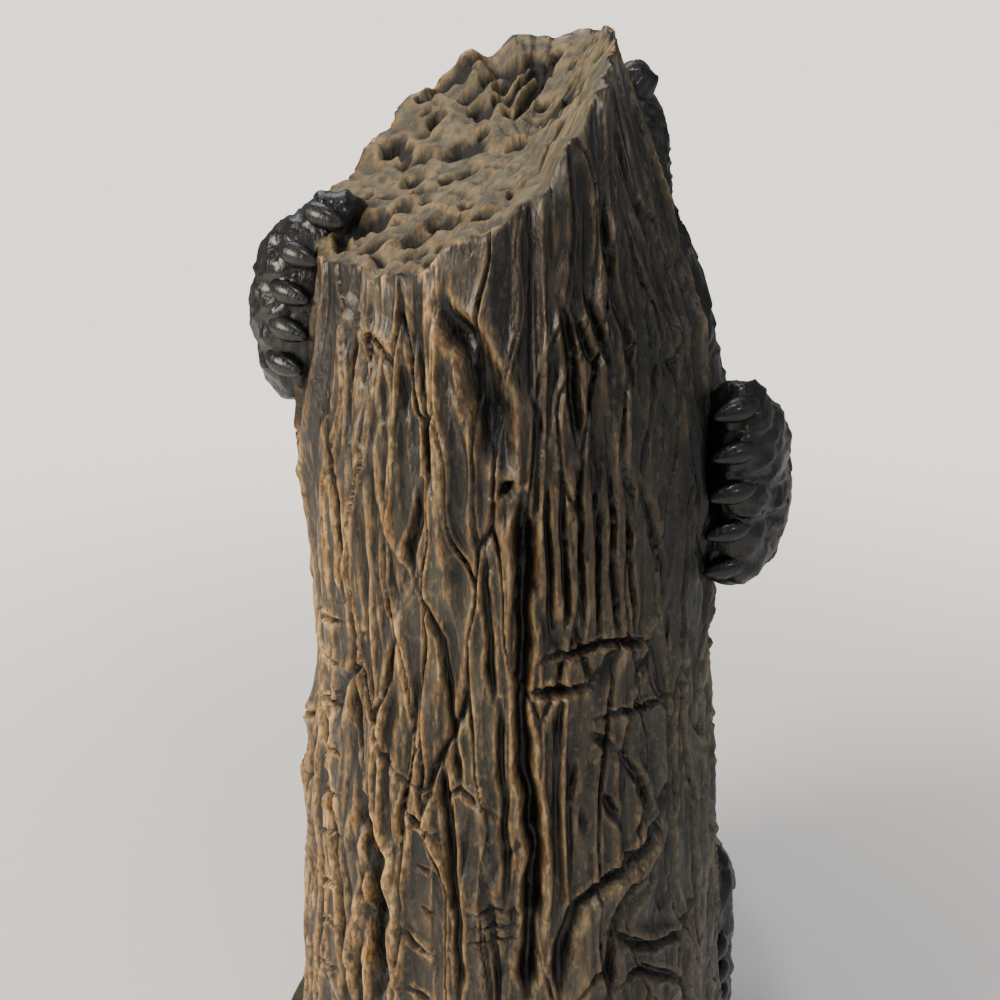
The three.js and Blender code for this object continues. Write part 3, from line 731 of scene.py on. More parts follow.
ground_share = np.arange(1, ground_rings + 1)[:, None] / ground_rings
edge_start = np.maximum(edge_reach - edge_rounding, foot_reach + 0.6)
ground_reach = foot_reach + (edge_start - foot_reach) * ground_share
ground_x = ground_reach * way_out[:, 0]
ground_y = ground_reach * way_out[:, 1] + trunk_setback
ground_angle = np.arctan2(ground_y, ground_x)
share = np.clip(np.hypot(ground_x, ground_y) / base_outline(ground_angle), 0, 1)
lumps = 1.2 * np.sin(5 * ground_angle + 7 * share) + 0.9 * np.sin(11 * ground_angle - 5 * share)
ground_relief = 0.9 * ground_noise(7, 51) + 0.5 * ground_noise(2.6, 52) + 0.25 * ground_noise(1.2, 53)
settled = smoothstep(1 - share, 0, 0.12)
ground_z = base_thickness + (base_edge - base_thickness) * share ** 3 + 4 * lumps * share * (1 - share)
ground_z = ground_z + ground_relief * (0.35 + 0.65 * settled)
ground_z = ground_z + (ground_level - ground_z) * bell(ground_reach - foot_reach, 1.2)
ground_z = ground_z + 1.6 * np.exp(-(ground_reach - foot_reach) / 3.5) * smoothstep(ground_share, 0, 0.04)
ground_points = np.stack([ground_x, ground_y, ground_z], axis=-1)
ground_hollow = smoothstep(-ground_relief, 0.3, 1.1)
ground_edge = smoothstep(ground_relief, 0.35, 1.0)

under_points = np.stack([
    np.stack([
        reach * way_out[:, 0],
        reach * way_out[:, 1] + trunk_setback,
        np.full(spokes, level),
    ], axis=-1)
    for reach, level in (
        (np.maximum(edge_reach, edge_start + 0.3), 0.45 * base_edge),
        (np.maximum(edge_reach - 0.5, edge_start), 0),
        (edge_reach * 0.5, 0),
        (edge_reach * 0, 0),
    )
])
print_range("ground height", ground_z)

# %% [markdown]
# The zones join into one skin. Decimation keeps small triangles where the carving is, and the
# paint marks ride on the skin as attributes of its points.


# %% The trunk's skin
def settle(piece):
    """Make a piece's modifiers part of its mesh."""
    evaluated = piece.evaluated_get(bpy.context.evaluated_depsgraph_get())
    mesh = bpy.data.meshes.new_from_object(evaluated)
    old = piece.data
    piece.modifiers.clear()
    piece.data = mesh
    bpy.data.meshes.remove(old)
    mesh.name = piece.name


def add_marks(mesh, marks):
    """Put named values, one for each point, on a mesh for its paint to read."""
    for name, values in marks.items():
        attribute = mesh.attributes.new(name, "FLOAT", "POINT")
        attribute.data.foreach_set("value", np.asarray(values, np.float32))


def thin_out(piece, triangles):
    """Leave about so many triangles, most of them where the surface bends."""
    decimate = piece.modifiers.new("decimate", "DECIMATE")
    decimate.ratio = triangles / sum(len(polygon.vertices) - 2 for polygon in piece.data.polygons)
    settle(piece)


def join_zones(top, bark, ground, under):
    """A value for each point of the skin, from the values in the four zones."""
    return np.concatenate([top, bark[1:], ground, under])[ring_of, spoke_of]


no_top, no_bark = np.zeros_like(top_hollow), np.zeros_like(bark_wash_and_painted_shade)
no_ground, no_under = np.zeros_like(ground_hollow), np.zeros((under_rings, spokes))
wood_mark = smoothstep(1 - top_share, 0, 0.05) * np.ones_like(top_hollow)
splash_height, splash_strength = 9, 0.6
splashed = smoothstep(ground_level + splash_height - bark_height, 0, splash_height) * splash_strength
placed = join_zones(top_points, bark_points, ground_points, under_points)
placed[ring_of == 0] = top_middle
placed[ring_of == rings] = axis_foot
trunk_mesh.vertices.foreach_set("co", (placed * MM).astype(np.float32).ravel())
add_marks(trunk_mesh, {
    "hollow": join_zones(top_hollow, bark_wash_and_painted_shade, ground_hollow, no_under),
    "edge": join_zones(top_edge, bark_edge, ground_edge, no_under),
    "top": join_zones(wood_mark, no_bark, no_ground, no_under),
    "ground": join_zones(no_top, splashed, no_ground + 1, no_under + 1),
    # This mark is a painted highlight along the front of the rim.
    "wear_and_painted_highlight": join_zones(no_top, painted_rim_highlight, no_ground, no_under),
    # The cool mark is painted shade on the flank away from the key lamp.
    "cool": join_zones(no_top, painted_cool_shade, no_ground, no_under),
})
seam = bmesh.new()
seam.from_mesh(trunk_mesh)
bmesh.ops.remove_doubles(seam, verts=seam.verts, dist=1e-7)
bmesh.ops.recalc_face_normals(seam, faces=seam.faces)
seam.to_mesh(trunk_mesh)
seam.free()
trunk = into_scene("trunk_bark", trunk_mesh)
thin_out(trunk, triangle_goal)
trunk.data.shade_smooth()
print("trunk_bark has", len(trunk.data.polygons), "triangles")

# %% [markdown]
# ## The bear's form
# The bear is worked out from bones, as in the solid. A spot is given by its bearing round the
# trunk, its rise above the seat and how far it stands out from the bark, as shares of the bear's
# length. A joint is a spot with a half thickness.


# %% Bones
def spot(bearing, rise, out):
    """A point in millimetres from a bearing in degrees and shares of the bear's length."""
    height = bear_seat + rise * bear_length
    reach = trunk_radius(height) + out * bear_length
    turned = math.radians(bearing)
    return np.array([reach * math.cos(turned), reach * math.sin(turned) + trunk_setback, height])


def limb(*joints):
    """Joints of one limb, each a point and its half thickness."""
    return [np.append(spot(*joint[:3]), joint[3] * bear_length) for joint in joints]


torso = limb(
    (270, 0.155, 0.032, 0.141), (270, 0.35, 0.036, 0.128), (268, 0.59, 0.036, 0.128),
    (266, 0.755, 0.05, 0.102), (256, 0.85, 0.055, 0.08),
)
flank = limb((240, 0.2, 0.03, 0.1), (238, 0.45, 0.03, 0.092), (239, 0.63, 0.03, 0.086))
skull = limb((253, 0.918, 0.068, 0.073), (250, 0.912, 0.092, 0.067))
arms = [
    limb(
        (296, 0.755, 0.032, 0.08), (316, 0.73, 0.022, 0.054),
        (338, 0.765, 0.015, 0.04), (356, 0.8, 0.01, 0.034),
    ),
    limb(
        (239, 0.8, 0.032, 0.078), (222, 0.68, 0.027, 0.058),
        (200, 0.645, 0.028, 0.046), (184, 0.64, 0.022, 0.043),
    ),
]
legs = [
    limb(
        (297, 0.145, 0.04, 0.108), (314, 0.15, 0.008, 0.062),
        (312, 0.08, 0.004, 0.055), (312, 0.035, 0, 0.046),
    ),
    limb(
        (240, 0.165, 0.04, 0.112), (214, 0.135, 0.014, 0.066),
        (214, 0.08, 0.01, 0.058), (213, 0.035, 0.004, 0.047),
    ),
]

head_middle = skull[0][:3]
head_bearing, head_droop = 247, 0.16
head_turn = math.radians(head_bearing)
head_forward = np.array([math.cos(head_turn), math.sin(head_turn), -head_droop])
head_forward /= np.linalg.norm(head_forward)
head_side = np.cross(head_forward, (0, 0, 1))
head_side /= np.linalg.norm(head_side)
head_up = np.cross(head_side, head_forward)


def on_head(forward, side, up):
    """A point along the head's own directions, as shares of the bear's length."""
    return head_middle + bear_length * (forward * head_forward + side * head_side + up * head_up)


def ball(forward, side, up, thick):
    return np.append(on_head(forward, side, up), thick * bear_length)


muzzle = [ball(0.07, 0, -0.02, 0.043), ball(0.124, 0, -0.032, 0.031)]
brow = [ball(0.045, -0.025, 0.035, 0.03), ball(0.045, 0.025, 0.035, 0.03)]
jowl = [ball(0.03, -0.034, -0.03, 0.04), ball(0.03, 0.034, -0.03, 0.04)]
ears = [
    [ball(0.012, 0.036 * side, 0.048, 0.019), ball(0.014, 0.046 * side, 0.06, 0.0185)]
    for side in (-1, 1)
]
print("head at", head_middle.round(1))

# %% [markdown]
# A paw holds on with five toes, one above the other, and each ends in a claw. A row gives the way
# the toes point, the paw's bearing and rise, the toes' pitch and lift, how far it stands out, the
# palm's half thickness, the curl of the upper toes, the turn from palm to claw, and how far a
# claw's root stands proud and its tip hooks back.

# %% Paws
toe_count = 5
palm_reach, knuckle_thick, toe_thick, claw_spread = 0.04, 0.024, 0.0205, 13
paws = []
for side, bearing, rise, pitch, lift, out, thick, curl, turn, proud, hook in (
    (1, 2, 0.797, 0.0285, 0.018, 0, 0.038, 0.007, 11, 0.026, 0.016),
    (-1, 172, 0.65, 0.033, 0.012, 0.012, 0.042, 0, 16, 0.014, 0.024),
    (1, 314, 0.035, 0.028, 0, 0.01, 0.036, 0, 16, 0.014, 0.024),
    (-1, 211, 0.035, 0.028, 0, 0.014, 0.036, 0, 16, 0.014, 0.024),
):
    paw = {
        "toes": [], "claws": [],
        "palm": limb(
            (bearing, rise - palm_reach, out, thick), (bearing, rise + palm_reach, out, thick),
        ),
    }
    for index in range(toe_count):
        step = index - (toe_count - 1) / 2
        back = 0.45 * step * step
        height = rise + lift + pitch * step
        reach = out - curl * max(step, 0) ** 2
        paw["toes"].append(limb(
            (bearing + side * 2, rise + 0.75 * pitch * step, reach + 0.006, knuckle_thick),
            (bearing + side * (turn - 4 - back), height, reach + 0.004, toe_thick),
        ))
        paw["claws"].append((
            spot(bearing + side * (turn - back), height + 0.004, reach + proud),
            spot(bearing + side * (turn + claw_spread - back), height - 0.008, reach + proud - hook),
        ))
    paws.append(paw)
print(len(paws), "paws of", toe_count, "toes")

# %% [markdown]
# Flesh runs smoothly from one limb to the next. The distance from each limb joins the others with a
# rounded minimum, wide between the big limbs and narrow between the toes.


# %% Flesh
def bone_distance(points, start, end):
    """How far points lie outside a bone that tapers from one joint to the next."""
    way = end[:3] - start[:3]
    share = np.clip((points - start[:3]) @ way / max(way @ way, 1e-6), 0, 1)
    far = np.linalg.norm(points - start[:3] - share[:, None] * way, axis=1)
    return far - start[3] - (end[3] - start[3]) * share


def limb_distance(points, joints):
    return np.min([bone_distance(points, a, b) for a, b in zip(joints, joints[1:])], axis=0)


flesh_blend = 0.045 * bear_length
face_blend = 0.026 * bear_length
toe_blend = 0.018 * bear_length
ear_blend = 0.008 * bear_length
blended = [(joints, flesh_blend) for joints in (torso, flank, skull, *arms, *legs)]
blended += [(paw["palm"], flesh_blend) for paw in paws]
blended += [(joints, face_blend) for joints in (muzzle, brow, jowl)]
blended += [(toe, toe_blend) for paw in paws for toe in paw["toes"]]
blended += [(ear, ear_blend) for ear in ears]


def flesh(points):
    """How far points lie outside the bear's smooth flesh, in millimetres."""
    joined = np.full(len(points), 1e3)
    for joints, blend in blended:
        distance = limb_distance(points, joints)
        shared = np.maximum(blend - np.abs(joined - distance), 0) / blend
        joined = np.minimum(joined, distance) - shared * shared * blend / 4
    return joined


# %% Balls along the bones, melted into one skin
body = bmesh.new()
for joints, _ in blended:
    for start, end in zip(joints, joints[1:]):
        length = np.linalg.norm(end[:3] - start[:3])
        steps = max(1, math.ceil(length / (0.5 * min(start[3], end[3]))))
        for step in range(steps + 1):
            joint = start + (end - start) * step / steps
            made = bmesh.ops.create_icosphere(body, subdivisions=2, radius=joint[3] * MM)
            bmesh.ops.translate(body, verts=made["verts"], vec=Vector(joint[:3]) * MM)
bear_mesh = bpy.data.meshes.new("bear")
body.to_mesh(bear_mesh)
body.free()
bear = into_scene("bear", bear_mesh)
skin_cell = 0.78
melt = bear.modifiers.new("melt", "REMESH")
melt.mode = "VOXEL"
melt.voxel_size = skin_cell * MM
settle(bear)
print("bear skin has", len(bear.data.vertices), "points")


# %% Pull the skin onto the flesh
def read_vectors(items, name):
    """A row of three numbers for each item of a mesh."""
    flat = np.empty(len(items) * 3, np.float32)
    items.foreach_get(name, flat)
    return flat.reshape(-1, 3).astype(float)


def read_points(mesh):
    return read_vectors(mesh.vertices, "co") / MM


def read_normals(mesh):
    return read_vectors(mesh.vertex_normals, "vector")


def write_points(mesh, points):
    mesh.vertices.foreach_set("co", (points * MM).astype(np.float32).ravel())
    mesh.update()


points = read_points(bear.data)
points = points - flesh(points)[:, None] * read_normals(bear.data)
write_points(bear.data, points)
relax_rounds, later_pulls = 5, 2
relax = bear.modifiers.new("relax", "SMOOTH")
relax.iterations = relax_rounds
settle(bear)
points = read_points(bear.data)
for _ in range(later_pulls):
    write_points(bear.data, points)
    points = points - flesh(points)[:, None] * read_normals(bear.data)
write_points(bear.data, points)
left = np.abs(flesh(points))
print("skin lies on the flesh within", round(float(np.percentile(left, 99)), 2), "mm")

# %% [markdown]
# ## Fur
# The coat is combed along each limb: long wavy locks whose tips stand over the next, with finer
# hairs on them. On the paws the hair is short and runs to the toes. Each limb combs the points near
# it, and where two limbs meet their combings cross-fade.


# %% Combing
def comb(points, joints):
    """For each point: its distance from the limb, and its place along and round it, in mm."""
    way = joints[-1][:3] - joints[0][:3]
    axis = way / np.linalg.norm(way)
    away = (joints[0][:3] + joints[-1][:3]) / 2 - axis_foot
    away[2] = 0
    away = away - axis * (away @ axis)
    away = away / np.linalg.norm(away)
    offset = points - joints[0][:3]
    girth = np.mean([joint[3] for joint in joints])
    around = np.arctan2(offset @ np.cross(axis, away), offset @ away + 0.5 * girth) * girth
    return limb_distance(points, joints), offset @ axis, around


def locks(along, around, size, seed):
    """Height of the fur: overlapping wavy locks, with hairs on them. Size is a lock's width in mm."""
    wave = 0.9 * size * noise(along / (4 * size), around / (5 * size), seed, 61)
    across = (around + wave) / size
    lift = noise(across * 0.5, along / (7 * size), seed, 62)
    lock = 1 - np.abs(noise(across, along / (5 * size), seed, 63)) * 2.2
    tip = (along / (4.2 * size) + 0.8 * noise(across * 0.9, along / (9 * size), seed, 64)) % 1
    hair = noise(across * 2.7, along / (3.5 * size), seed, 65)
    return 0.35 * lift + 0.46 * lock + 0.3 * (tip - 0.5) + 0.26 * hair


lock_depth = 1.4 * fur_depth
head_line = [ball(0.14, 0, -0.03, 0.04), ball(-0.08, 0, 0.01, 0.08)]
# Each row is a limb, a lock's width in millimetres, the share of the full depth, and a seed
combed = [(torso[::-1], 2.9, 1, 1), (head_line, 2.1, 0.75, 2)]
combed += [(arm, 2.3, 0.95, 3 + index) for index, arm in enumerate(arms)]
combed += [(leg, 2.5, 0.95, 5 + index) for index, leg in enumerate(legs)]
for index, paw in enumerate(paws):
    middle = (paw["palm"][0] + paw["palm"][1]) / 2
    reach = np.append(paw["toes"][2][1][:3] - middle[:3], 0)
    combed.append(([middle - 0.8 * reach, middle + 0.4 * reach], 1.3, 0.5, 7 + index))
measured = [(comb(points, joints), size, depth, seed) for joints, size, depth, seed in combed]
nearest = np.min([distance for (distance, _, _), _, _, _ in measured], axis=0)
relief = np.zeros(len(points))
weights = np.zeros(len(points))
fade = 2.2
least_weight = 0.01
for (distance, along, around), size, depth, seed in measured:
    weight = np.exp(-(distance - nearest) / fade)
    close = weight > least_weight
    relief[close] += (weight * depth)[close] * locks(along[close], around[close], size, seed)
    weights[close] += weight[close]
relief = lock_depth * relief / weights
collar_lift = 0.7
for paw in paws:
    for root, tip in paw["claws"]:
        collar = np.linalg.norm(points - root + 0.2 * (tip - root), axis=1)
        relief += collar_lift * bell(collar - 0.62 * claw_width, 0.3 * claw_width)
print_range("fur relief", relief)

# %% [markdown]
# Inside the trunk nothing shows, so the fur fades there. The face is smoother: the muzzle's hair
# is short, the eyes sit in sockets, the ears are cupped and the mouth is a line under the muzzle.

# %% The face and the hidden side
points_bearing = np.degrees(np.arctan2(points[:, 1] - trunk_setback, points[:, 0])) % 360
out_of_axis = np.hypot(points[:, 0], points[:, 1] - trunk_setback)
below_top = points[:, 2] < rim_height(points_bearing)
socket_depth, eyelid_lift, ear_depth, mouth_depth = 1.5, 0.7, 2, 1.3
buried = np.where(below_top, mean_radius(points_bearing, points[:, 2]) - out_of_axis, -9)
relief *= 1 - smoothstep(buried, 1, 4)
from_nose = np.linalg.norm(points - on_head(0.15, 0, -0.014), axis=1)
relief *= 0.25 + 0.75 * smoothstep(from_nose, 0.03 * bear_length, 0.14 * bear_length)
for side in (-1, 1):
    from_eye = np.linalg.norm(points - on_head(0.082, 0.033 * side, 0.02), axis=1)
    relief -= socket_depth * bell(from_eye, 0.014 * bear_length)
    relief += eyelid_lift * bell(from_eye - 0.022 * bear_length, 0.008 * bear_length)
    cup = np.linalg.norm(points - on_head(0.033, 0.047 * side, 0.063), axis=1)
    relief -= ear_depth * bell(cup, 0.013 * bear_length)
head_offset = points - on_head(0.118, 0, -0.05)
mouth_up = head_offset @ head_up - 0.012 * np.abs(head_offset @ head_side) ** 1.5
on_muzzle = smoothstep(head_offset @ head_forward, -14, -8) * bell(head_offset @ head_side, 14)
relief -= mouth_depth * bell(mouth_up, 0.9) * on_muzzle
write_points(bear.data, points + relief[:, None] * read_normals(bear.data))
# Painted shade: the hollows between the fur's locks are marked to be darkened.
painted_lock_shade = smoothstep(-relief, -0.1, 0.8)
add_marks(bear.data, {"hollow": painted_lock_shade})
claw_goal = 12000
thin_out(bear, triangle_goal - claw_goal)
print("bear skin has", len(bear.data.polygons), "triangles")

# %% [markdown]
# ## Claws, eyes and nose
# A claw is a glossy bead, fat at its root and hooked down to the bark at its tip. The eyes and the
# nose are small stretched balls along the head's own directions.


# %% Small glossy parts
def bead(mesh, place_of, columns, rows):
    """Add a closed skin to a mesh: a sphere's grid, each of whose points is put by a rule."""
    made = bmesh.ops.create_uvsphere(mesh, u_segments=columns, v_segments=rows, radius=1)
    for vertex in made["verts"]:
        down = math.acos(max(-1, min(1, vertex.co.z))) / math.pi
        turned = math.atan2(vertex.co.y, vertex.co.x)
        vertex.co = Vector(place_of(turned, down)) * MM


def claw_rule(root, tip):
    """Where the points of a claw's skin go: a bead along its pointing that bends down at the tip."""
    pointing = (tip - root) / np.linalg.norm(tip - root)
    outwards = root - axis_foot
    outwards[2] = 0
    outwards /= np.linalg.norm(outwards)
    level = np.cross(pointing, outwards)
    level /= np.linalg.norm(level)
    upward = np.cross(level, pointing)

    def place(turned, down):
        girth = math.sin(math.pi * down) ** 0.75 * (1.16 - 0.36 * down) * claw_width / 2
        reach = (down - 0.3) * claw_length
        lift = girth * math.cos(turned) - 0.15 * claw_length * down * down
        return root + pointing * reach + upward * lift + level * girth * math.sin(turned)

    return place


def lump_rule(middle, forward, side, up):
    """Where the points of a small ball's skin go, with its three radii as shares of the length."""
    def place(turned, down):
        girth = math.sin(math.pi * down)
        return middle + bear_length * (
            forward * girth * math.cos(turned) * head_forward
            + side * girth * math.sin(turned) * head_side
            + up * math.cos(math.pi * down) * head_up
        )

    return place


small = bmesh.new()
for paw in paws:
    for root, tip in paw["claws"]:
        bead(small, claw_rule(root, tip), 18, 14)
for side in (-1, 1):
    bead(small, lump_rule(on_head(0.081, 0.033 * side, 0.021), 0.012, 0.0125, 0.0115), 20, 12)
bead(small, lump_rule(on_head(0.15, 0, -0.016), 0.015, 0.021, 0.0155), 24, 14)
bmesh.ops.recalc_face_normals(small, faces=small.faces)
small_faces = len(small.faces)
for face in small.faces:
    face.material_index = 1
small.from_mesh(bear.data)
small.to_mesh(bear.data)
small.free()
bear.data.shade_smooth()
bear_triangles = sum(len(polygon.vertices) - 2 for polygon in bear.data.polygons)
print("bear has", bear_triangles, "triangles,", small_faces, "faces of them on claws, eyes and nose")


# %% [markdown]
# ## Paint
# The finish is model paint on resin: a brown-black wash over the bark, tan dry-brushed on its
# edges, khaki wood on the break, gloss black on the bear, all under satin lacquer.

# %% Helpers for materials
def paint_colour(code):
    """A screen colour such as "#C69A62" as the linear numbers that shaders use."""
    parts = [int(code[start:start + 2], 16) / 255 for start in (1, 3, 5)]
    return (*[p / 12.92 if p <= 0.04045 else ((p + 0.055) / 1.055) ** 2.4 for p in parts], 1)


def new_material(name):
    """A new material, its node tree and its surface node."""
    material = bpy.data.materials.new(name)
    material.use_nodes = True
    return material, material.node_tree, material.node_tree.nodes["Principled BSDF"]


def add(tree, kind, settings=None, inputs=None):
    """Add a node, set its properties, and set or link its inputs by name or number."""
    node = tree.nodes.new(kind)
    for name, value in (settings or {}).items():
        setattr(node, name, value)
    for key, value in (inputs or {}).items():
        if isinstance(value, bpy.types.NodeSocket):
            tree.links.new(value, node.inputs[key])
        else:
            node.inputs[key].default_value = value
    return node


def mark(tree, name):
    """One of the marks that the skin carries, as a value."""
    return add(tree, "ShaderNodeAttribute", {"attribute_name": name}).outputs["Fac"]


def spots(tree, scale, stretch=(1, 1, 1), detail=3, low=0.4, high=0.6):
    """Noise in the object's own coordinates, in spots per metre, sharpened between two levels."""
    where = add(tree, "ShaderNodeTexCoord").outputs["Object"]
    stretched = add(tree, "ShaderNodeMapping", inputs={"Vector": where, "Scale": stretch})
    texture = add(tree, "ShaderNodeTexNoise", inputs={
        "Vector": stretched.outputs["Vector"], "Scale": scale, "Detail": detail,
    })
    ramp = add(tree, "ShaderNodeMapRange", {"interpolation_type": "SMOOTHSTEP"}, {
        "Value": texture.outputs["Fac"], "From Min": low, "From Max": high,
    })
    return ramp.outputs["Result"]


def between(tree, value, low, high):
    """Stretch a value from 0 to 1 so that it runs from low to high."""
    node = add(tree, "ShaderNodeMapRange", inputs={"Value": value, "To Min": low, "To Max": high})
    return node.outputs["Result"]


def times(tree, value, factor):
    """One value times another, kept between 0 and 1."""
    node = add(tree, "ShaderNodeMath", {"operation": "MULTIPLY", "use_clamp": True}, {0: value, 1: factor})
    return node.outputs[0]


def over(tree, factor, under, upper):
    """Lay one colour over another."""
    mix = add(tree, "ShaderNodeMix", {"data_type": "RGBA"}, {0: factor})
    for socket, value in ((mix.inputs[6], under), (mix.inputs[7], upper)):
        if isinstance(value, str):
            socket.default_value = paint_colour(value)
        else:
            tree.links.new(value, socket)
    return mix.outputs[2]


def add_tooth(tree, surface, height, strength, depth):
    """Roughen a surface with a fine bump, whose depth is in millimetres."""
    bump = add(tree, "ShaderNodeBump", inputs={
        "Height": height, "Strength": strength, "Distance": depth * MM,
    })
    tree.links.new(bump.outputs["Normal"], surface.inputs["Normal"])


# %% Bark paint: a satin-lacquered acrylic over resin
bark_paint, tree, surface = new_material("painted bark resin")
patchy = spots(tree, 130, (1, 1, 0.35), 4, 0.35, 0.65)
fine_patch = spots(tree, 420, (1, 1, 0.5), 3, 0.42, 0.62)
streaks = spots(tree, 300, (1, 1, 0.09), 4, 0.56, 0.7)
scuffs = spots(tree, 900, (1, 1, 0.6), 2, 0.56, 0.7)
colour = over(tree, patchy, "#11100D", "#2A271F")
colour = over(tree, times(tree, fine_patch, 0.4), colour, "#443E30")
# Painted cool shade on the flank away from the key lamp.
colour = over(tree, times(tree, mark(tree, "cool"), 0.6), colour, "#242824")
colour = over(tree, times(tree, streaks, 0.3), colour, "#7A6747")
wood = over(tree, patchy, "#474538", "#6A6550")
wood = over(tree, times(tree, fine_patch, 0.75), wood, "#38342A")
colour = over(tree, mark(tree, "top"), colour, wood)
soil = over(tree, patchy, "#23231B", "#403C2D")
colour = over(tree, mark(tree, "ground"), colour, soil)
# The tan that the dry brush leaves on the edges; the pale rim mark further down is a painted highlight.
wear_and_painted_highlight = over(tree, fine_patch, "#A87F4B", "#CBA66F")
# On that flank the tan edges turn grey: painted cool shade.
wear_and_painted_highlight = over(tree, times(tree, mark(tree, "cool"), 0.75), wear_and_painted_highlight, "#6E6F66")
speckle = spots(tree, 1300, (1, 1, 0.45), 5, 0.4, 0.56)
edge_brush = times(tree, mark(tree, "edge"), between(tree, patchy, 0.5, 1))
edge_brush = times(tree, edge_brush, between(tree, speckle, 0.4, 1.15))
edge_brush = times(tree, edge_brush, between(tree, mark(tree, "top"), 1, 0.3))
edge_brush = times(tree, edge_brush, between(tree, mark(tree, "ground"), 1, 0.5))
colour = over(tree, edge_brush, colour, wear_and_painted_highlight)
colour = over(tree, times(tree, scuffs, 0.16), colour, "#9C8A66")
# Painted highlight: a pale grey sheen along the front of the rim.
colour = over(tree, times(tree, mark(tree, "wear_and_painted_highlight"), between(tree, speckle, 0.3, 0.8)), colour, "#A9A79A")
# This mark darkens the wash in the carving, the overspray round the paws and the painted shade under the
# crest.
colour = over(tree, times(tree, mark(tree, "hollow"), 0.96), colour, "#0A0908")
tree.links.new(colour, surface.inputs["Base Color"])
gloss = between(tree, fine_patch, 0.38, 0.55)
dull = add(tree, "ShaderNodeMath", {"operation": "MAXIMUM"}, {
    0: gloss, 1: times(tree, mark(tree, "top"), 0.68),
})
tree.links.new(dull.outputs[0], surface.inputs["Roughness"])
tree.links.new(between(tree, mark(tree, "top"), 0.18, 0), surface.inputs["Coat Weight"])
surface.inputs["Specular IOR Level"].default_value = 0.35
surface.inputs["Coat Roughness"].default_value = 0.28
add_tooth(tree, surface, spots(tree, 1500, (1, 1, 0.4), 4, 0.2, 0.8), 0.5, 0.3)
trunk.data.materials.clear()
trunk.data.materials.append(bark_paint)
print(bark_paint.name, "has", len(tree.nodes), "nodes")

# %% Coat paint: gloss black enamel over resin fur
coat_paint, tree, surface = new_material("gloss black fur enamel")
patchy = spots(tree, 160, (1, 1, 1), 3, 0.35, 0.65)
colour = over(tree, patchy, "#090A0B", "#111315")
# Painted shade in the hollows between the locks.
colour = over(tree, times(tree, mark(tree, "hollow"), 0.7), colour, "#060707")
tree.links.new(colour, surface.inputs["Base Color"])
tree.links.new(between(tree, patchy, 0.34, 0.46), surface.inputs["Roughness"])
surface.inputs["Specular IOR Level"].default_value = 0.33
surface.inputs["Coat Weight"].default_value = 0.28
surface.inputs["Coat Roughness"].default_value = 0.18
add_tooth(tree, surface, spots(tree, 1100, (1, 1, 0.3), 3, 0.2, 0.8), 0.4, 0.4)

# %% Claw paint: the same enamel, thick and wet-looking
claw_paint, tree, surface = new_material("wet black claw enamel")
patchy = spots(tree, 300, (1, 1, 1), 2, 0.4, 0.6)
tree.links.new(over(tree, patchy, "#0A0B0C", "#141618"), surface.inputs["Base Color"])
surface.inputs["Roughness"].default_value = 0.1
surface.inputs["Coat Weight"].default_value = 1
surface.inputs["Coat Roughness"].default_value = 0.05
bear.data.materials.clear()
bear.data.materials.append(coat_paint)
bear.data.materials.append(claw_paint)
print("bear materials:", [material.name for material in bear.data.materials])

# %% [markdown]
# ## Into the frame
# Both skins ride on the one body and stand for the one solid.

# %% Pieces into the frame
for piece in (trunk, bear):
    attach(piece, "root")
    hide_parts("bear_on_trunk")
print("pieces:", trunk.name, bear.name)

# %% [markdown]
# ## Floor and light
# A plain pale floor fades into a pale backdrop, which glows for the camera only, so that it puts no
# grey sheen on the lacquer. A soft warm key lamp stands at the upper left and a weak cool fill at the
# right. A lamp behind lights the bear's edges, and two small ones put the sparkle on the lacquer.

# %% Floor
floor_shape = bmesh.new()
floor_half_width = 4
bmesh.ops.create_grid(floor_shape, x_segments=2, y_segments=2, size=floor_half_width)
floor_mesh = bpy.data.meshes.new("floor")
floor_shape.to_mesh(floor_mesh)
floor_shape.free()
floor = into_scene("floor", floor_mesh)
floor_paint, tree, surface = new_material("pale matt floor")
surface.inputs["Base Color"].default_value = paint_colour("#F1F1ED")
surface.inputs["Roughness"].default_value = 0.8
backdrop_code, backdrop_strength = "#EEE6DA", 2.2
fade_start, fade_end = 0.08, 0.6
far = add(tree, "ShaderNodeVectorMath", {"operation": "LENGTH"}, {
    0: add(tree, "ShaderNodeTexCoord").outputs["Object"],
})
fade = add(tree, "ShaderNodeMapRange", {"interpolation_type": "SMOOTHSTEP"}, {
    "Value": far.outputs["Value"], "From Min": fade_start, "From Max": fade_end,
})
glow = add(tree, "ShaderNodeEmission", inputs={
    "Color": paint_colour(backdrop_code), "Strength": backdrop_strength,
})
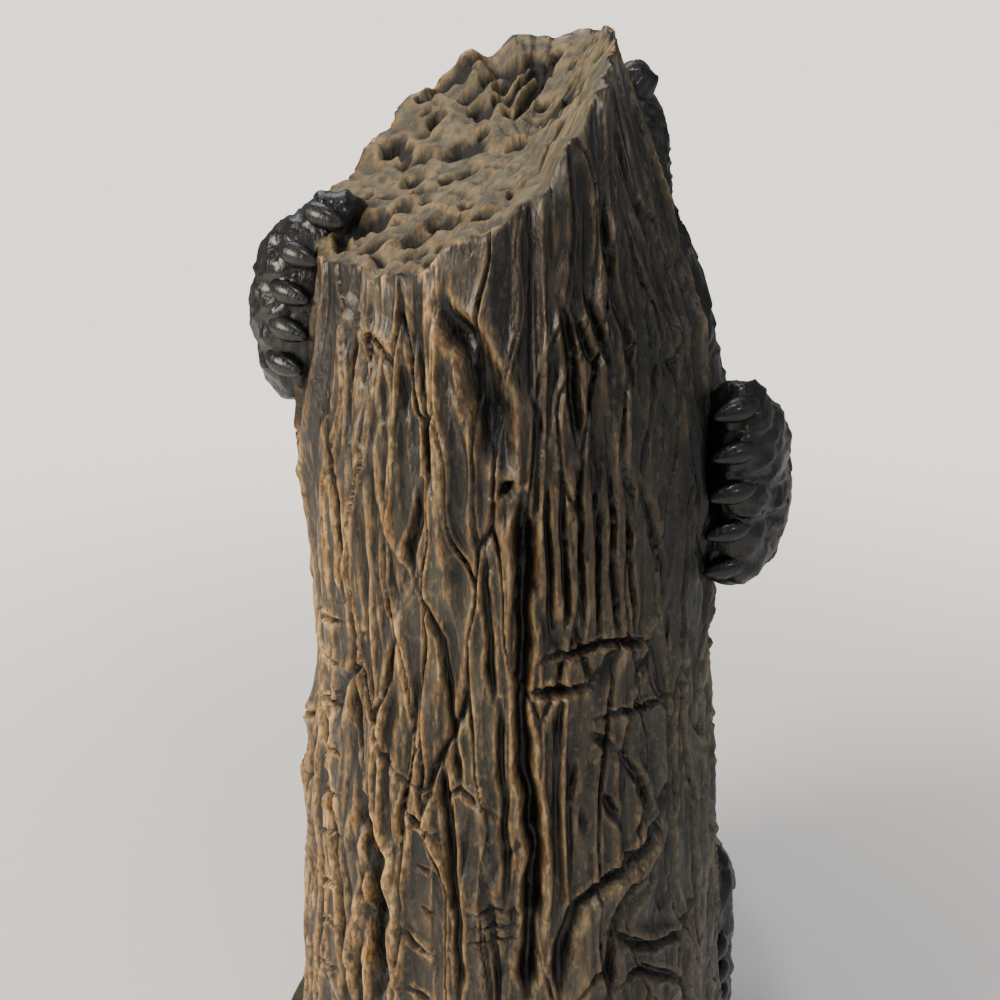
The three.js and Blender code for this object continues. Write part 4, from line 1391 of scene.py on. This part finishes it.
seen = add(tree, "ShaderNodeLightPath").outputs["Is Camera Ray"]
blend = add(tree, "ShaderNodeMixShader", inputs={
    0: times(tree, fade.outputs["Result"], seen), 1: surface.outputs["BSDF"], 2: glow.outputs["Emission"],
})
tree.links.new(blend.outputs["Shader"], tree.nodes["Material Output"].inputs["Surface"])
floor.data.materials.append(floor_paint)


# %% Lights
def area_light(name, place, size, power, code):
    """A square lamp, in metres, that looks at the middle of the trunk."""
    lamp = bpy.data.lights.new(name, "AREA")
    lamp.size = size
    lamp.energy = power
    lamp.color = paint_colour(code)[:3]
    holder = into_scene(name, lamp)
    holder.location = place
    target = Vector((0, trunk_setback * MM, 0.6 * trunk_height * MM))
    holder.rotation_euler = (target - Vector(place)).to_track_quat("-Z", "Y").to_euler()


area_light("key", (0.85, 0.45, 0.55), 0.45, 16, "#FFF3E2")
area_light("fill", (-0.8, 0.5, 0.4), 0.8, 0.8, "#DCE8FF")
area_light("back", (0.25, -0.6, 1.1), 0.6, 4.5, "#F4F2FF")
area_light("sparkle", (0.05, 0.2, 0.9), 0.06, 1.4, "#FFF8EE")
area_light("glint", (-0.3, 0.7, 0.6), 0.05, 1.1, "#F4F6FF")
room_strength = 0.3
world = bpy.data.worlds.new("studio")
world.use_nodes = True
tree = world.node_tree
room = tree.nodes["Background"]
room.inputs["Color"].default_value = paint_colour("#E6E4E0")
room.inputs["Strength"].default_value = room_strength
backdrop = add(tree, "ShaderNodeBackground", inputs={
    "Color": paint_colour(backdrop_code), "Strength": backdrop_strength,
})
seen = add(tree, "ShaderNodeLightPath").outputs["Is Camera Ray"]
blend = add(tree, "ShaderNodeMixShader", inputs={
    0: seen, 1: room.outputs["Background"], 2: backdrop.outputs["Background"],
})
tree.links.new(blend.outputs["Shader"], tree.nodes["World Output"].inputs["Surface"])
bpy.context.scene.world = world
print("lights:", [item.name for item in bpy.data.lights])

# %% [markdown]
# ## Last step
# The scene is brought up to date.

# %% Update the scene
bpy.context.view_layer.update()
